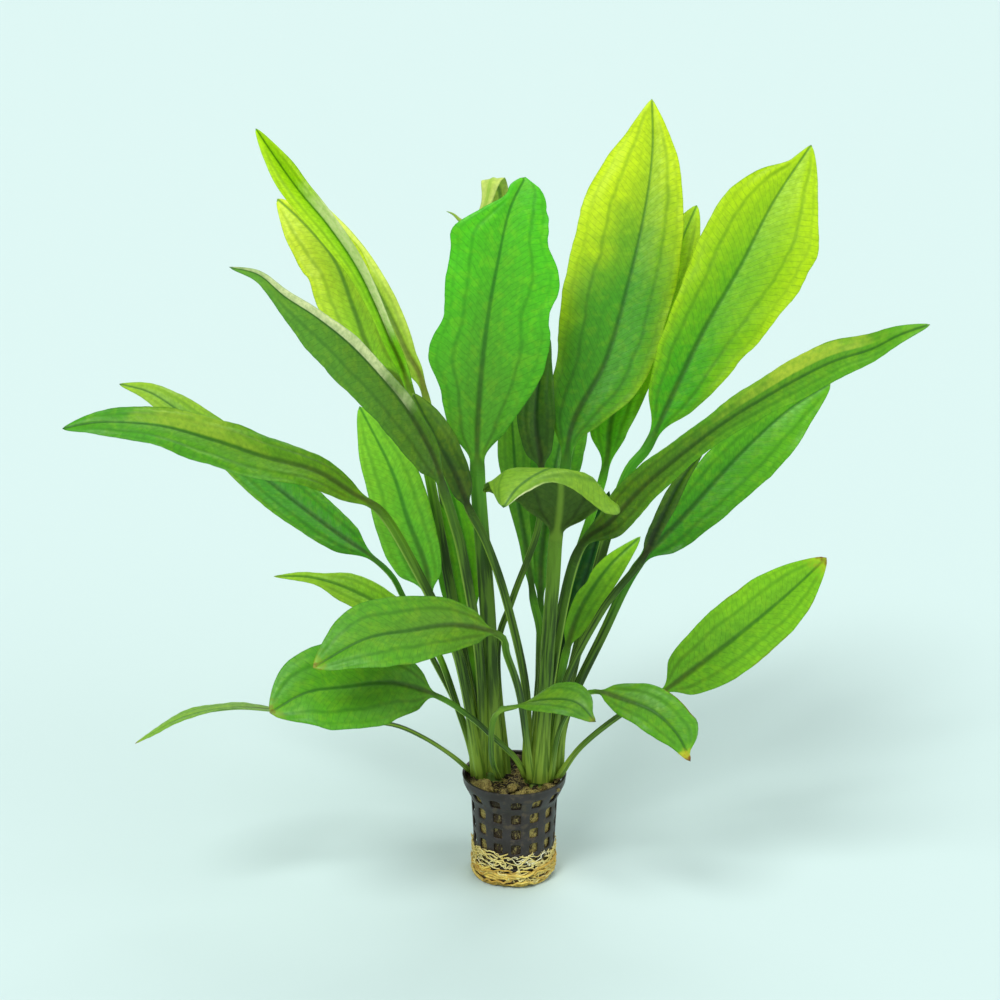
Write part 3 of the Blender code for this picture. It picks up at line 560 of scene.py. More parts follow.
class Row:
    """One closed ring round a leaf."""

    def __init__(self, leaf, seed, look, line, share, on_blade):
        self.leaf = leaf
        self.seed = seed
        self.look = look
        self.share = share if on_blade else share - 1.0
        self.along = line.length * share
        self.centre = line.at(share)
        heading = line.heading(share) if on_blade or share else Vector((0.0, 0.0, 1.0))
        faces = [Vector(face).normalized() for face in leaf.faces]
        face = spread(faces, share) if on_blade else faces[0]
        self.upper = (face - face.dot(heading) * heading).normalized()
        self.across = heading.cross(self.upper)
        self.flat = smooth(share / FLATTEN_SHARE) if on_blade else 0.0
        # The stalk is a quarter wider at its foot, and tapers as it runs on in the blade
        taper = 1.0 - 0.7 * share if on_blade else 1.0 + 0.25 * (1.0 - smooth(share / 0.25))
        self.wide = leaf.stalk[0] * MM * taper
        self.thick = leaf.stalk[1] * MM * taper
        self.half = {side: self.margin(side, share) if on_blade else 0.0 for side in ("left", "right")}
        self.bend = bent_half(math.radians(leaf.inner) * self.flat, math.radians(leaf.outer) * self.flat)

    def margin(self, side, share):
        """Half-width with the small irregularities of a grown margin, 11 and 4 mm long."""
        key = 3.7 if side == "left" else 9.1
        along = self.along / MM
        rough = 0.03 * ruffle(along / 11.0, key, self.seed) + 0.012 * ruffle(along / 4.0, key, self.seed)
        return half_width(self.leaf, side, share) * (1.0 + rough) * MM

    def relief(self, place, top, half):
        """Height of the veins, the quilting between them and the roll and curl of the margin."""
        along = self.along / MM
        off = abs(place) * half
        midrib = bell(off, 0.0, 0.5 * MM + 0.5 * self.wide)
        side_vein = bell((abs(place) - SIDE_VEIN) * half, 0.0, 1.0 * MM) * min(1.0, half / (8.0 * MM))
        if top:
            height = -(MIDRIB_DEPTH * midrib + SIDE_VEIN_DEPTH * side_vein) * self.look.vein_relief
        else:
            height = -(MIDRIB_KEEL + 0.5 * self.thick) * midrib - SIDE_VEIN_DEPTH * side_vein
        wave = math.sin(math.tau * (along - 0.8 * off / MM) / QUILT_PITCH_MM)
        quilt = wave * (1.0 - midrib) * (1.0 - side_vein)
        height += QUILT_HEIGHT * quilt * self.look.vein_relief
        # The margins roll every 19 mm or so, and the whole blade more gently every 42 mm
        roll = 1.7 * place * place * ruffle(along / 19.0, 5.0 * place, self.seed)
        roll += 0.9 * ruffle(along / 42.0, 1.3 * place, self.seed + 31.0)
        height += roll * MM * self.leaf.wave * self.look.margin_wave * min(1.0, half / (12.0 * MM))
        for side, middle, width, change in self.leaf.curls:
            if (side == "right") == (place > 0.0):
                height += change * MM * bell(self.share, middle, width) * smooth((abs(place) - 0.4) / 0.6)
        ends = smooth(self.share / 0.15) * (1.0 - smooth((self.share - 0.9) / 0.1))
        return height * ends

    def point(self, place, top):
        """Place of one vertex: on the stalk's fluted oval, on the blade, or between them at its base."""
        half = self.half["right" if place > 0.0 else "left"]
        angle = place * math.pi / 2
        flute = 1.0 + 0.05 * math.cos(6.0 * angle)
        oval = Vector((self.wide * math.sin(angle), self.thick * math.cos(angle) * (0.8 if top else -1.0)))
        x, y = self.bend[abs(place)]
        skin = self.look.blade_thickness / 2 * math.sqrt(1.0 - place * place) * (1.0 if top else -1.0)
        if self.share >= 1.0:
            skin = 0.0
        blade = Vector((math.copysign(x * half, place), y * half + skin))
        if self.flat:
            blade.y += self.relief(place, top, half)
        spot = (oval * flute).lerp(blade, self.flat)
        return self.centre + self.across * spot.x + self.upper * spot.y


def leaf_rows(leaf, seed, look):
    """The rings of a leaf, first those of its petiole and then those of its blade."""
    foot = Vector((*CROWNS[leaf.crown], PETIOLE_Z)) + Vector((*leaf.foot, 0.0)) * MM
    below = [Vector(p) * MM for p in leaf.petiole]
    above = [Vector(p) * MM for p in leaf.blade]
    points = smooth_curve([foot, *below, *above])
    neck = (len(below) + 1) * CURVE_STEPS
    petiole, blade = Line(points[:neck + 1]), Line(points[neck:])
    low = max(PETIOLE_LEAST_ROWS, round(petiole.length / MM / PETIOLE_PITCH_MM))
    high = max(BLADE_LEAST_ROWS, round(blade.length / MM / BLADE_PITCH_MM))
    rows = [Row(leaf, seed, look, petiole, step / low, False) for step in range(low)]
    return rows + [Row(leaf, seed, look, blade, step / high, True) for step in range(high + 1)]


def grow(leaf, seed, look):
    """Wraps a grid round the leaf's midline, joins its two long edges and closes its ends."""
    rows = leaf_rows(leaf, seed, look)
    bm = bmesh.new()
    bmesh.ops.create_grid(bm, x_segments=RING_STEPS, y_segments=len(rows) - 1, size=1.0)
    layers = [bm.verts.layers.float.new(key) for key in LEAF_LAYERS]
    for vert in bm.verts:
        step = round((vert.co.x + 1.0) / 2.0 * RING_STEPS)
        row = rows[round((vert.co.y + 1.0) / 2.0 * (len(rows) - 1))]
        place, top = RING[step % RING_STEPS]
        vert.co = row.point(place, top)
        half = row.half["right" if place > 0.0 else "left"] / MM
        upper = 0.5 if abs(place) == 1.0 else float(top)
        for layer, value in zip(layers, (place, row.share, row.along / MM, half, upper)):
            vert[layer] = value
    bmesh.ops.remove_doubles(bm, verts=bm.verts, dist=MERGE_DISTANCE)
    bmesh.ops.holes_fill(bm, edges=[edge for edge in bm.edges if edge.is_boundary], sides=0)
    bmesh.ops.recalc_face_normals(bm, faces=bm.faces)
    return bm


# Pieces

def put(name, data):
    """Makes an object of this data and puts it into the scene."""
    made = bpy.data.objects.new(name, data)
    bpy.context.scene.collection.objects.link(made)
    return made


def finished_mesh(bm, name, material):
    mesh = bpy.data.meshes.new(name)
    bm.to_mesh(mesh)
    bm.free()
    mesh.materials.append(material)
    return mesh


def finish_piece(bm, name, material, slot, *nodes, sharp=math.pi):
    """Makes the bmesh an object that rides with the plant and stands for the given nodes."""
    mesh = finished_mesh(bm, name, material)
    mesh.shade_smooth()
    mesh.set_sharp_from_angle(angle=sharp)
    made = put(name, mesh)
    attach(made, BODY)
    if nodes:
        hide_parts(*nodes)
    return made


def round_point(reach, angle, z):
    """Point at this distance from the pot's axis."""
    return Vector((reach * math.cos(angle), reach * math.sin(angle), z))


def pot_radius(z):
    """Outer radius of the pot: a tapering body, then the flare, then the nearly upright rim band."""
    corners = ((FOOT_Z, FOOT_RADIUS), (BODY_TOP_Z, BODY_TOP_RADIUS), (LIP_Z, LIP_RADIUS),
               (RIM_Z, RIM_RADIUS))
    index = sum(z > corner[0] for corner in corners[1:3])
    (low_z, low_radius), (high_z, high_radius) = corners[index:index + 2]
    return low_radius + (z - low_z) / (high_z - low_z) * (high_radius - low_radius)


def turned(profile, steps, turn=0.0):
    """Spins a profile of (radius, z) points about the pot's axis."""
    bm = bmesh.new()
    start = [bm.verts.new(round_point(radius, turn, z)) for radius, z in profile]
    edges = [bm.edges.new(pair) for pair in zip(start[:-1], start[1:])]
    bmesh.ops.spin(bm, geom=start + edges, cent=(0, 0, 0), axis=(0, 0, 1), angle=math.tau, steps=steps,
                   use_merge=True, use_duplicate=False)
    bmesh.ops.remove_doubles(bm, verts=bm.verts, dist=0.002 * MM)
    return bm


def pot_skin(windows):
    """The basket's outer skin, spun about its axis, with its windows cut through."""
    levels = {z for window in windows for z in window} | {RIM_Z - 0.9 * MM, RIM_Z - 3.4 * MM, BODY_TOP_Z}
    profile = [(0.0, FOOT_Z), (9.0 * MM, FOOT_Z), (FOOT_RADIUS - 2.0 * MM, FOOT_Z),
               (FOOT_RADIUS - 0.5 * MM, FOOT_Z + 0.4 * MM), (FOOT_RADIUS, FOOT_Z + 1.8 * MM)]
    profile += [(pot_radius(z), z) for z in sorted(levels)]
    profile += [(RIM_RADIUS + 0.25 * MM, RIM_Z - 0.45 * MM), (RIM_RADIUS, RIM_Z)]
    steps = POT_COLUMNS * 2 * WINDOW_STEPS
    bm = turned(profile, steps, POT_TURN)
    holes = []
    for face in bm.faces:
        centre = face.calc_center_median()
        step = int((math.atan2(centre.y, centre.x) - POT_TURN) % math.tau / (math.tau / steps))
        over_window = step % (2 * WINDOW_STEPS) < WINDOW_STEPS
        if over_window and any(low < centre.z < high for low, high in windows):
            holes.append(face)
    bmesh.ops.delete(bm, geom=holes, context="FACES")
    return bm


def pot_piece():
    """The basket: a skin with windows, given a wall and rounded by subdivision."""
    rows = [TOP_WINDOW_Z - row * WINDOW_PITCH for row in range(WINDOW_ROWS)]
    bm = pot_skin([(z - WINDOW_HEIGHT / 2, z + WINDOW_HEIGHT / 2) for z in rows])
    bmesh.ops.recalc_face_normals(bm, faces=bm.faces)
    bmesh.ops.solidify(bm, geom=bm.faces[:], thickness=WALL)
    bmesh.ops.recalc_face_normals(bm, faces=bm.faces)
    crease = bm.edges.layers.float.new("crease_edge")
    for edge in bm.edges:
        inner, outer = sorted(math.hypot(vert.co.x, vert.co.y) for vert in edge.verts)
        middle = (edge.verts[0].co.z + edge.verts[1].co.z) / 2
        if FOOT_Z + 2.0 * MM < middle < RIM_Z - 1.0 * MM and outer - inner > 0.7 * WALL:
            edge[crease] = WINDOW_CREASE
    made = finish_piece(bm, "basket_pot", pot_material(), "pot_plastic", "net_pot")
    rounding = made.modifiers.new("Subdivision", "SUBSURF")
    rounding.levels = rounding.render_levels = 2


def soil_height(x, y):
    """The plug's lumpy top."""
    lumps = 0.9 * ruffle(x / MM / 9.0, y / MM / 9.0, 3.7) + 0.6 * ruffle(x / MM / 4.0, y / MM / 4.0, 1.2)
    return SOIL_TOP_Z + (0.3 + 1.5 * lumps) * MM


def soil_piece():
    """The plug: it fills the pot to the wall, with a rough side and a lumpy top."""
    side_z = [FOOT_Z + WALL + 0.2 * MM + step * 1.6 * MM for step in range(28)]
    side_z = [z for z in side_z if z < SOIL_TOP_Z - 0.9 * MM]
    profile = [(0.0, side_z[0]), (9.0 * MM, side_z[0])]
    profile += [(pot_radius(z) - WALL - 0.1 * MM, z) for z in side_z]
    top = pot_radius(side_z[-1]) - WALL - 0.3 * MM
    profile += [(top * ring / SOIL_RINGS, SOIL_TOP_Z) for ring in range(SOIL_RINGS, -1, -1)]
    bm = turned(profile, SOIL_STEPS, POT_TURN)
    bm.normal_update()
    for vert in bm.verts:
        x, y, z = vert.co / MM
        on_top = vert.co.z > SOIL_TOP_Z - 0.1 * MM
        if on_top:
            vert.co.z = soil_height(vert.co.x, vert.co.y)
            vert.co.z += 0.5 * MM * ruffle(x / 1.6, y / 1.6, 7.0)
        elif z > 7.0:
            inward = 0.6 * abs(ruffle(x / 3.0, y / 3.0, z / 3.0))
            inward += 0.4 * abs(ruffle(x / 1.2, y / 1.2, z / 1.2))
            shrink = 1.0 - inward * MM / math.hypot(vert.co.x, vert.co.y)
            vert.co.x *= shrink
            vert.co.y *= shrink
    bmesh.ops.recalc_face_normals(bm, faces=bm.faces)
    finish_piece(bm, "soil_plug", soil_material(), "soil_plug", "substrate")


def crumb(bm, centre, radius, seed, tone, squash=0.8, level=2):
    """Adds one rough lump, longer one way than the other."""
    fresh = bmesh.ops.create_icosphere(bm, subdivisions=level, radius=1.0)["verts"]
    layer = bm.verts.layers.float["tone"]
    turn = (Matrix.Rotation(seed * 2.4, 3, "Z") @ Matrix.Diagonal((1.25, 0.8, squash))
            @ Matrix.Rotation(seed, 3, "X"))
    for vert in fresh:
        spot = vert.co + Vector((seed * 1.7, 0.0, 0.0))
        swell = 1.0
        for height, pitch in ((0.55, 1.1), (0.40, 2.6), (0.22, 6.0)):
            swell += height * ruffle(*(spot * pitch))
        vert.co = turn @ (vert.co * swell * radius) + centre
        vert[layer] = tone


def crumb_piece():
    """Loose crumbs of peat and wool that lie on the plug, and a few larger lumps of wool."""
    dice = random.Random(7)
    bm = bmesh.new()
    bm.verts.layers.float.new("tone")
    for index in range(CRUMBS):
        angle = dice.uniform(0.0, math.tau)
        reach = 24.5 * MM * math.sqrt(dice.uniform(0.05, 1.0))
        radius = dice.choice(CRUMB_RADII_MM) * MM
        x, y = reach * math.cos(angle), reach * math.sin(angle)
        between_crowns = abs(x) < 6.0 * MM and y > -10.0 * MM
        tone = dice.choice(CRUMB_TONES) * (0.3 if between_crowns else 1.0)
        crumb(bm, Vector((x, y, soil_height(x, y) + 0.3 * radius)), radius, index, tone)
    for index, (x, y, z, radius, squash, tone) in enumerate(WOOL_LUMPS):
        crumb(bm, Vector((x, y, z)) * MM, radius * MM, 501.0 + index, tone, squash, 4)
    bmesh.ops.recalc_face_normals(bm, faces=bm.faces)
    finish_piece(bm, "soil_crumbs", crumb_material(), "soil_plug")


def wool_fibre_piece():
    """Stiff fibres of mineral wool that stick out of the plug's top."""
    dice = random.Random(23)
    strands = []
    for index in range(WOOL_FIBRES):
        angle = dice.uniform(0.0, math.tau)
        reach = 22.5 * MM * math.sqrt(dice.uniform(0.0, 1.0))
        x, y = reach * math.cos(angle), reach * math.sin(angle)
        heading, rise = dice.uniform(0.0, math.tau), dice.uniform(0.1, 0.9)
        length, thick = dice.uniform(2.0, 5.5) * MM, dice.uniform(0.09, 0.17) * MM
        strand = []
        for step in range(7):
            share = step / 6.0
            turn = heading + 1.6 * share * ruffle(index * 0.7, share * 2.0, 4.0)
            spot = Vector((x + length * share * math.cos(turn), y + length * share * math.sin(turn), 0.0))
            lift = rise * length * share * (1.15 - 0.9 * share)
            spot.z = soil_height(spot.x, spot.y) + 0.5 * MM + lift
            if math.hypot(spot.x, spot.y) < 24.0 * MM:
                strand.append((spot, thick))
        if len(strand) > 2:
            strands.append(strand)
    strand_piece("wool_fibres", "soil_plug", strands, "wool")


def strand_piece(name, slot, strands, look):
    """Round strands, each a list of (point, radius), as one mesh with closed ends and a tone a strand."""
    curve = bpy.data.curves.new(name, "CURVE")
    curve.dimensions = "3D"
    curve.bevel_depth = 1.0
    curve.bevel_resolution = 1
    curve.use_fill_caps = True
    for strand in strands:
        spline = curve.splines.new("POLY")
        spline.points.add(len(strand) - 1)
        for knot, (point, radius) in zip(spline.points, strand):
            knot.co = (*point, 1.0)
            knot.radius = radius
    guide = put(name + "_guide", curve)
    bpy.context.view_layer.update()
    mesh = bpy.data.meshes.new_from_object(guide.evaluated_get(bpy.context.evaluated_depsgraph_get()))
    bpy.data.objects.remove(guide)
    bm = bmesh.new()
    bm.from_mesh(mesh)
    bpy.data.meshes.remove(mesh)
    round_steps = len(bm.verts) // sum(len(strand) for strand in strands)
    dice = random.Random(len(strands))
    tones = []
    for strand in strands:
        tones += [dice.random()] * (len(strand) * round_steps)
    layer = bm.verts.layers.float.new("tone")
    for vert, tone in zip(bm.verts, tones):
        vert[layer] = tone
    bmesh.ops.recalc_face_normals(bm, faces=bm.faces)
    material = root_material(name.replace("_", " "), *ROOT_LOOKS[look])
    finish_piece(bm, name, material, slot, sharp=math.radians(45.0))


def bulge(angle, z):
    """How much further the roots stand out, which is most on the left."""
    left = smooth(-math.cos(angle) * 1.4 - 0.4)
    return (0.9 * left * smooth((15.0 * MM - z) / (8.0 * MM)) - 0.3 * smooth(math.cos(angle))) * MM


def sweep(dice, kind):
    """How far a root of this kind runs round the pot, either way."""
    return dice.choice((-1.0, 1.0)) * dice.uniform(*kind.span)


def root(dice, kind, start, span, low, high):
    """A root that lies round the pot's foot: it runs from one angle and height to another and wanders."""
    thick, proud = dice.uniform(*kind.thick) * MM, dice.uniform(*kind.proud) * MM
    key, kinks = dice.uniform(0.0, 90.0), dice.uniform(3.0, 7.0)
    strand = []
    for step in range(kind.steps + 1):
        share = step / kind.steps
        angle = start + span * share + 0.14 * ruffle(share * 4.0, key, 5.5)
        z = low + (high - low) * share + kind.wander * MM * ruffle(share * kinks, key, 0.3)
        z = min(max(ROOT_LOW_Z, z), ROOT_TOP_Z)
        hug = pot_radius(max(z, FOOT_Z)) - 0.3 * MM
        reach = hug + proud + 0.9 * MM * ruffle(share * 5.0, key, 8.1) + bulge(angle, z)
        # The lowest roots draw in under the pot, and none above its foot cuts into the wall
        reach -= 2.2 * MM * smooth((3.6 * MM - z) / (3.6 * MM))
        if z > FOOT_Z:
            reach = max(reach, hug + 0.4 * MM + thick)
        taper = 0.35 + 0.65 * smooth(min(share, 1.0 - share) / 0.12)
        strand.append((round_point(reach, angle, z), thick * taper))
    return strand


def root_strands():
    """Thick yellow roots low down, thinner ones that criss-cross above them and a few white climbers."""
    dice = random.Random(19)
    strands = {key: [] for key in ROOT_KINDS}
    kind = ROOT_KINDS["thick"]
    for index in range(kind.count):
        low = dice.uniform(0.8, 9.5) * MM
        high = min(12.0 * MM, max(ROOT_LOW_Z, low + dice.uniform(-3.5, 3.5) * MM))
        strands["thick"].append(root(dice, kind, index * GOLDEN_ANGLE, sweep(dice, kind), low, high))
    kind = ROOT_KINDS["fine"]
    for index in range(kind.count):
        start = index * GOLDEN_ANGLE + dice.uniform(-0.1, 0.1)
        low = (4.0 + 16.0 * (index * 0.7548 % 1.0)) * MM
        high = min(max(low + dice.uniform(-10.0, 9.0) * MM, 2.0 * MM), ROOT_END_Z)
        strands["fine"].append(root(dice, kind, start, sweep(dice, kind), low, high))
    kind = ROOT_KINDS["white"]
    for index in range(kind.count):
        low = dice.uniform(11.0, 18.0) * MM
        span = sweep(dice, kind)
        high = min(low + dice.uniform(-5.0, 7.0) * MM, ROOT_END_Z)
        strands["white"].append(root(dice, kind, index * GOLDEN_ANGLE, span, low, high))
    return strands


def underside_strands():
    """Roots that have spread flat under the pot."""
    dice = random.Random(5)
    strands = []
    for index in range(UNDERSIDE_ROOTS):
        angle, bend = dice.uniform(0.0, math.tau), dice.uniform(-1.6, 1.6)
        thick = dice.uniform(0.35, 0.7) * MM
        strand = []
        for step in range(17):
            share = step / 16.0
            turn = angle + bend * share + 0.3 * ruffle(share * 4.0, index * 1.7, 0.0)
            z = thick + (0.1 + 1.2 * share * share) * MM
            strand.append((round_point((3.0 + 17.6 * share) * MM, turn, z), thick))
        strands.append(strand)
    return strands


def root_pad_piece():
    """The dense felt of roots behind the separate strands, dark brown in its own dirty colour and partly
    painted shade in the gaps between them.
    """
    inside_z = FOOT_Z - 0.3 * MM
    profile = [(0.0, 0.4 * MM), (10.0 * MM, 0.4 * MM), (18.6 * MM, 0.5 * MM)]
    profile += [(PAD_RADIUS - 1.5 * MM, 2.2 * MM), (PAD_RADIUS - 0.3 * MM, 4.4 * MM)]
    profile += [(PAD_RADIUS - 0.3 * MM, 6.0 * MM), (PAD_RADIUS - 0.7 * MM, 7.4 * MM)]
    profile += [(FOOT_RADIUS + 0.5 * MM, PAD_TOP_Z), (FOOT_RADIUS + 0.3 * MM, 6.4 * MM)]
    profile += [(FOOT_RADIUS + 0.2 * MM, inside_z), (10.0 * MM, inside_z), (0.0, inside_z)]
    bm = turned(profile, PAD_STEPS)
    for vert in bm.verts:
        angle = math.atan2(vert.co.y, vert.co.x)
        radius = math.hypot(vert.co.x, vert.co.y)
        if vert.co.z > 7.0 * MM:
            vert.co.z += 1.6 * MM * ruffle(3.2 * math.cos(angle), 3.2 * math.sin(angle), 2.0)
            vert.co.z += 2.0 * MM * smooth(-math.cos(angle))
        if radius > PAD_RADIUS - 2.0 * MM and vert.co.z > 1.0 * MM:
            z = vert.co.z / MM
            lump = 0.7 * ruffle(5.0 * math.cos(angle), 5.0 * math.sin(angle), z / 3.0)
            lump += 0.4 * ruffle(12.0 * math.cos(angle), 12.0 * math.sin(angle), z / 1.5)
            swell = 1.0 + (lump - 0.2) * MM / radius
            vert.co.x = vert.co.x * swell - 0.5 * MM
            vert.co.y *= swell
    bmesh.ops.recalc_face_normals(bm, faces=bm.faces)
    finish_piece(bm, "root_pad", root_material("root pad", *ROOT_LOOKS["pad"]), "roots", "root_mat")


def crown_piece(side):
    """A short stem of overlapping leaf bases: a dome with upright ribs."""
    centre = CROWNS[side]
    bm = bmesh.new()
    bmesh.ops.create_cone(bm, cap_ends=True, segments=64, radius1=1.0, radius2=0.72, depth=1.0)
    upright = [edge for edge in bm.edges if abs(edge.verts[0].co.z - edge.verts[1].co.z) > 0.5]
    bmesh.ops.subdivide_edges(bm, edges=upright, cuts=7, use_grid_fill=True)
    top = [face for face in bm.faces if face.normal.z > 0.9]
    for step in range(4):
        bmesh.ops.inset_region(bm, faces=top, thickness=0.13, depth=0.05, use_even_offset=True)
    for vert in bm.verts:
        angle = math.atan2(vert.co.y, vert.co.x)
        rib = 1.0 + 0.05 * math.sin(11.0 * angle)
        rib += 0.08 * ruffle(math.cos(angle) * 2, math.sin(angle) * 2, 4.0)
        vert.co = Vector((centre.x + vert.co.x * rib * (CROWN_RADIUS - 1.2 * MM),
                          centre.y + vert.co.y * rib * (CROWN_RADIUS - 1.2 * MM),
                          SOIL_TOP_Z - 0.6 * MM + (vert.co.z + 0.5) * CROWN_HEIGHT))
    bmesh.ops.recalc_face_normals(bm, faces=bm.faces)
    finish_piece(bm, side + "_crown", crown_material(side), "crown", "crown_" + side)


# Shader nodes

def add(tree, kind, inputs=(), **settings):
    """Adds a node, sets it and fills its inputs from values or from other nodes' sockets."""
    made = tree.nodes.new(kind)
    for key, value in settings.items():
        setattr(made, key, value)
    for key, value in dict(inputs).items():
        if isinstance(value, bpy.types.NodeSocket):
            tree.links.new(value, made.inputs[key])
        else:
            made.inputs[key].default_value = value
    return made


def maths(tree, operation, *values):
    return add(tree, "ShaderNodeMath", dict(enumerate(values)), operation=operation).outputs[0]


def times(tree, value, factor):
    return maths(tree, "MULTIPLY", value, factor)


def scaled(tree, value, factor, start):
    """The value times a factor, counted from the start."""
    return maths(tree, "MULTIPLY_ADD", value, factor, start)


def strongest(tree, mask, *others):
    """The greatest of several masks."""
    for other in others:
        mask = maths(tree, "MAXIMUM", mask, other)
    return mask


def ease(tree, value, low, high, start=0.0, end=1.0):
    """Maps a value smoothly between two others."""
    made = add(tree, "ShaderNodeMapRange", {"Value": value, "From Min": low, "From Max": high,
                                            "To Min": start, "To Max": end},
               interpolation_type="SMOOTHSTEP")
    return made.outputs["Result"]


def blend(tree, factor, first, second, blend_type="MIX"):
    """Mixes two colours, each a socket or three numbers."""
    colours = [c if isinstance(c, bpy.types.NodeSocket) else (*c, 1.0) for c in (first, second)]
    made = add(tree, "ShaderNodeMix", {0: factor, 6: colours[0], 7: colours[1]}, data_type="RGBA",
               blend_type=blend_type)
    return made.outputs[2]


def own_place(tree):
    """The piece's own coordinates."""
    return add(tree, "ShaderNodeTexCoord").outputs["Object"]


def stretched_place(tree, upward):
    """The piece's own coordinates, with heights counted less, so that a pattern on them stands upright."""
    return add(tree, "ShaderNodeMapping", {"Vector": own_place(tree),
                                           "Scale": (1.0, 1.0, upward)}).outputs["Vector"]


def noise_at(tree, place, scale, detail, roughness=0.55, distortion=0.0):
    made = add(tree, "ShaderNodeTexNoise", {"Vector": place, "Scale": scale, "Detail": detail,
                                            "Roughness": roughness, "Distortion": distortion})
    return made.outputs["Fac"]


def attribute(tree, name):
    return add(tree, "ShaderNodeAttribute", attribute_name=name).outputs["Fac"]


def group(name, inputs, wire):
    """The node group of this name, built once. wire fills it, and returns its outputs by name."""
    if name in bpy.data.node_groups:
        return bpy.data.node_groups[name]
    tree = bpy.data.node_groups.new(name, "ShaderNodeTree")
    for key, value in inputs.items():
        socket = tree.interface.new_socket(name=key, in_out="INPUT", socket_type="NodeSocketFloat")
        socket.default_value = value
    outputs = wire(tree, add(tree, "NodeGroupInput").outputs)
    for key in outputs:
        tree.interface.new_socket(name=key, in_out="OUTPUT", socket_type="NodeSocketFloat")
    add(tree, "NodeGroupOutput", outputs)
    return tree


def place_group(tree, shared, inputs):
    return add(tree, "ShaderNodeGroup", inputs, node_tree=shared).outputs


def line_mask(tree, distance, width, soft):
    """1 on a line and 0 further from it than width plus soft."""
    return ease(tree, distance, width, width + soft, 1.0, 0.0)


def wire_veins(tree, given):
    """The midrib, the arching side veins and the fine cross veins. Half and Reach are in millimetres."""
    across = maths(tree, "ABSOLUTE", given["Across"])
    half, reach = given["Half"], given["Reach"]
    off = times(tree, across, half)
    taper = ease(tree, given["Along"], 0.0, 1.0, 1.0, 0.35)
    midrib = line_mask(tree, maths(tree, "DIVIDE", off, taper), 0.45, 2.3)
    wander = scaled(tree, given["Wander"], 0.06, -0.03)
    sides = []
    for place, strength, soft in ((SIDE_VEIN, 1.0, 1.6), (0.28, 0.22, 1.0), (0.84, 0.45, 1.2)):
        skew = maths(tree, "ABSOLUTE", maths(tree, "SUBTRACT", maths(tree, "ADD", across, wander), place))
        sides.append(times(tree, line_mask(tree, times(tree, skew, half), 0.12, soft), strength))
    side = times(tree, strongest(tree, *sides), ease(tree, half, 3.0, 9.0))
    band = maths(tree, "FLOOR", maths(tree, "DIVIDE", across, 0.28))
    slope = scaled(tree, band, -0.25, 1.1)
    path = maths(tree, "SUBTRACT", reach, times(tree, off, slope))
    path = scaled(tree, band, 1.7, path)
    path = scaled(tree, given["Wander"], 2.4, path)
    turn = maths(tree, "ABSOLUTE", maths(tree, "SINE", times(tree, path, math.pi / CROSS_VEIN_PITCH_MM)))
    cross = times(tree, line_mask(tree, turn, 0.02, 0.30), ease(tree, half, 3.0, 10.0))
    return {"Midrib": midrib, "Side Veins": side, "Cross Veins": cross}


def veins(tree, at, wander):
    """Masks of a leaf's veins, from its own attributes."""
    inputs = {"Across": 0.0, "Along": 0.0, "Reach": 0.0, "Half": 10.0, "Wander": 0.5}
    return place_group(tree, group("Leaf veins", inputs, wire_veins),
                       {"Across": at.across, "Along": at.along, "Reach": at.reach, "Half": at.half,
                        "Wander": wander})


def wire_mottling(tree, given):
    place = own_place(tree)
    return {key: ease(tree, noise_at(tree, place, given[key + " Scale"], detail), 0.3, 0.7)
            for key, detail in (("Broad", 3.0), ("Fine", 5.0))}


def mottling(tree, broad, fine):
    """The broad and fine unevenness that all finishes share, at these scales."""
    shared = group("Mottling", {"Broad Scale": 40.0, "Fine Scale": 400.0}, wire_mottling)
    return place_group(tree, shared, {"Broad Scale": broad, "Fine Scale": fine})


# Materials

def new_material(name):
    made = bpy.data.materials.new(name)
    made.use_nodes = True
    return made, made.node_tree


def finish(tree, colour, roughness, height, strength, depth, specular=0.5):
    """Gives the material's surface its colour and roughness, and a bump of this depth from the height."""
    shader = tree.nodes["Principled BSDF"]
    bump = add(tree, "ShaderNodeBump", {"Height": height, "Strength": strength, "Distance": depth})
    tree.links.new(colour, shader.inputs["Base Color"])
    tree.links.new(roughness, shader.inputs["Roughness"])
    tree.links.new(bump.outputs["Normal"], shader.inputs["Normal"])
    shader.inputs["Specular IOR Level"].default_value = specular


def blade_greens(tree, leaf, at, mottle):
    """The blade's greens: its base gives way to its tip, sooner at the margins than beside the midrib."""
    drift = scaled(tree, mottle["Broad"], 0.10, -0.11)
    drift = scaled(tree, at.outward, 0.16, drift)
    drift = scaled(tree, at.across, leaf.lean, drift)
    tipward = ease(tree, maths(tree, "ADD", at.along, drift), *leaf.turn)
    colour = blend(tree, tipward, leaf.deep, leaf.light)
    core = times(tree, ease(tree, at.outward, 0.0, 0.75, 1.0, 0.0),
                 ease(tree, at.along, 0.2, 0.95, leaf.core, 0.4 * leaf.core))
    colour = blend(tree, core, colour, leaf.deep)
    fade = times(tree, at.rim, ease(tree, at.along, 0.05, 0.55, 0.25 * leaf.fade, leaf.fade))
    colour = blend(tree, fade, colour, leaf.light)
    cells = noise_at(tree, own_place(tree), 190.0, 2.0, 0.5, 0.4)
    colour = blend(tree, ease(tree, cells, 0.46, 0.66, 0.0, 0.40), colour, CELL_GLOW, "ADD")
    return blend(tree, times(tree, mottle["Fine"], 0.22), colour, FINE_TINT, "MULTIPLY")


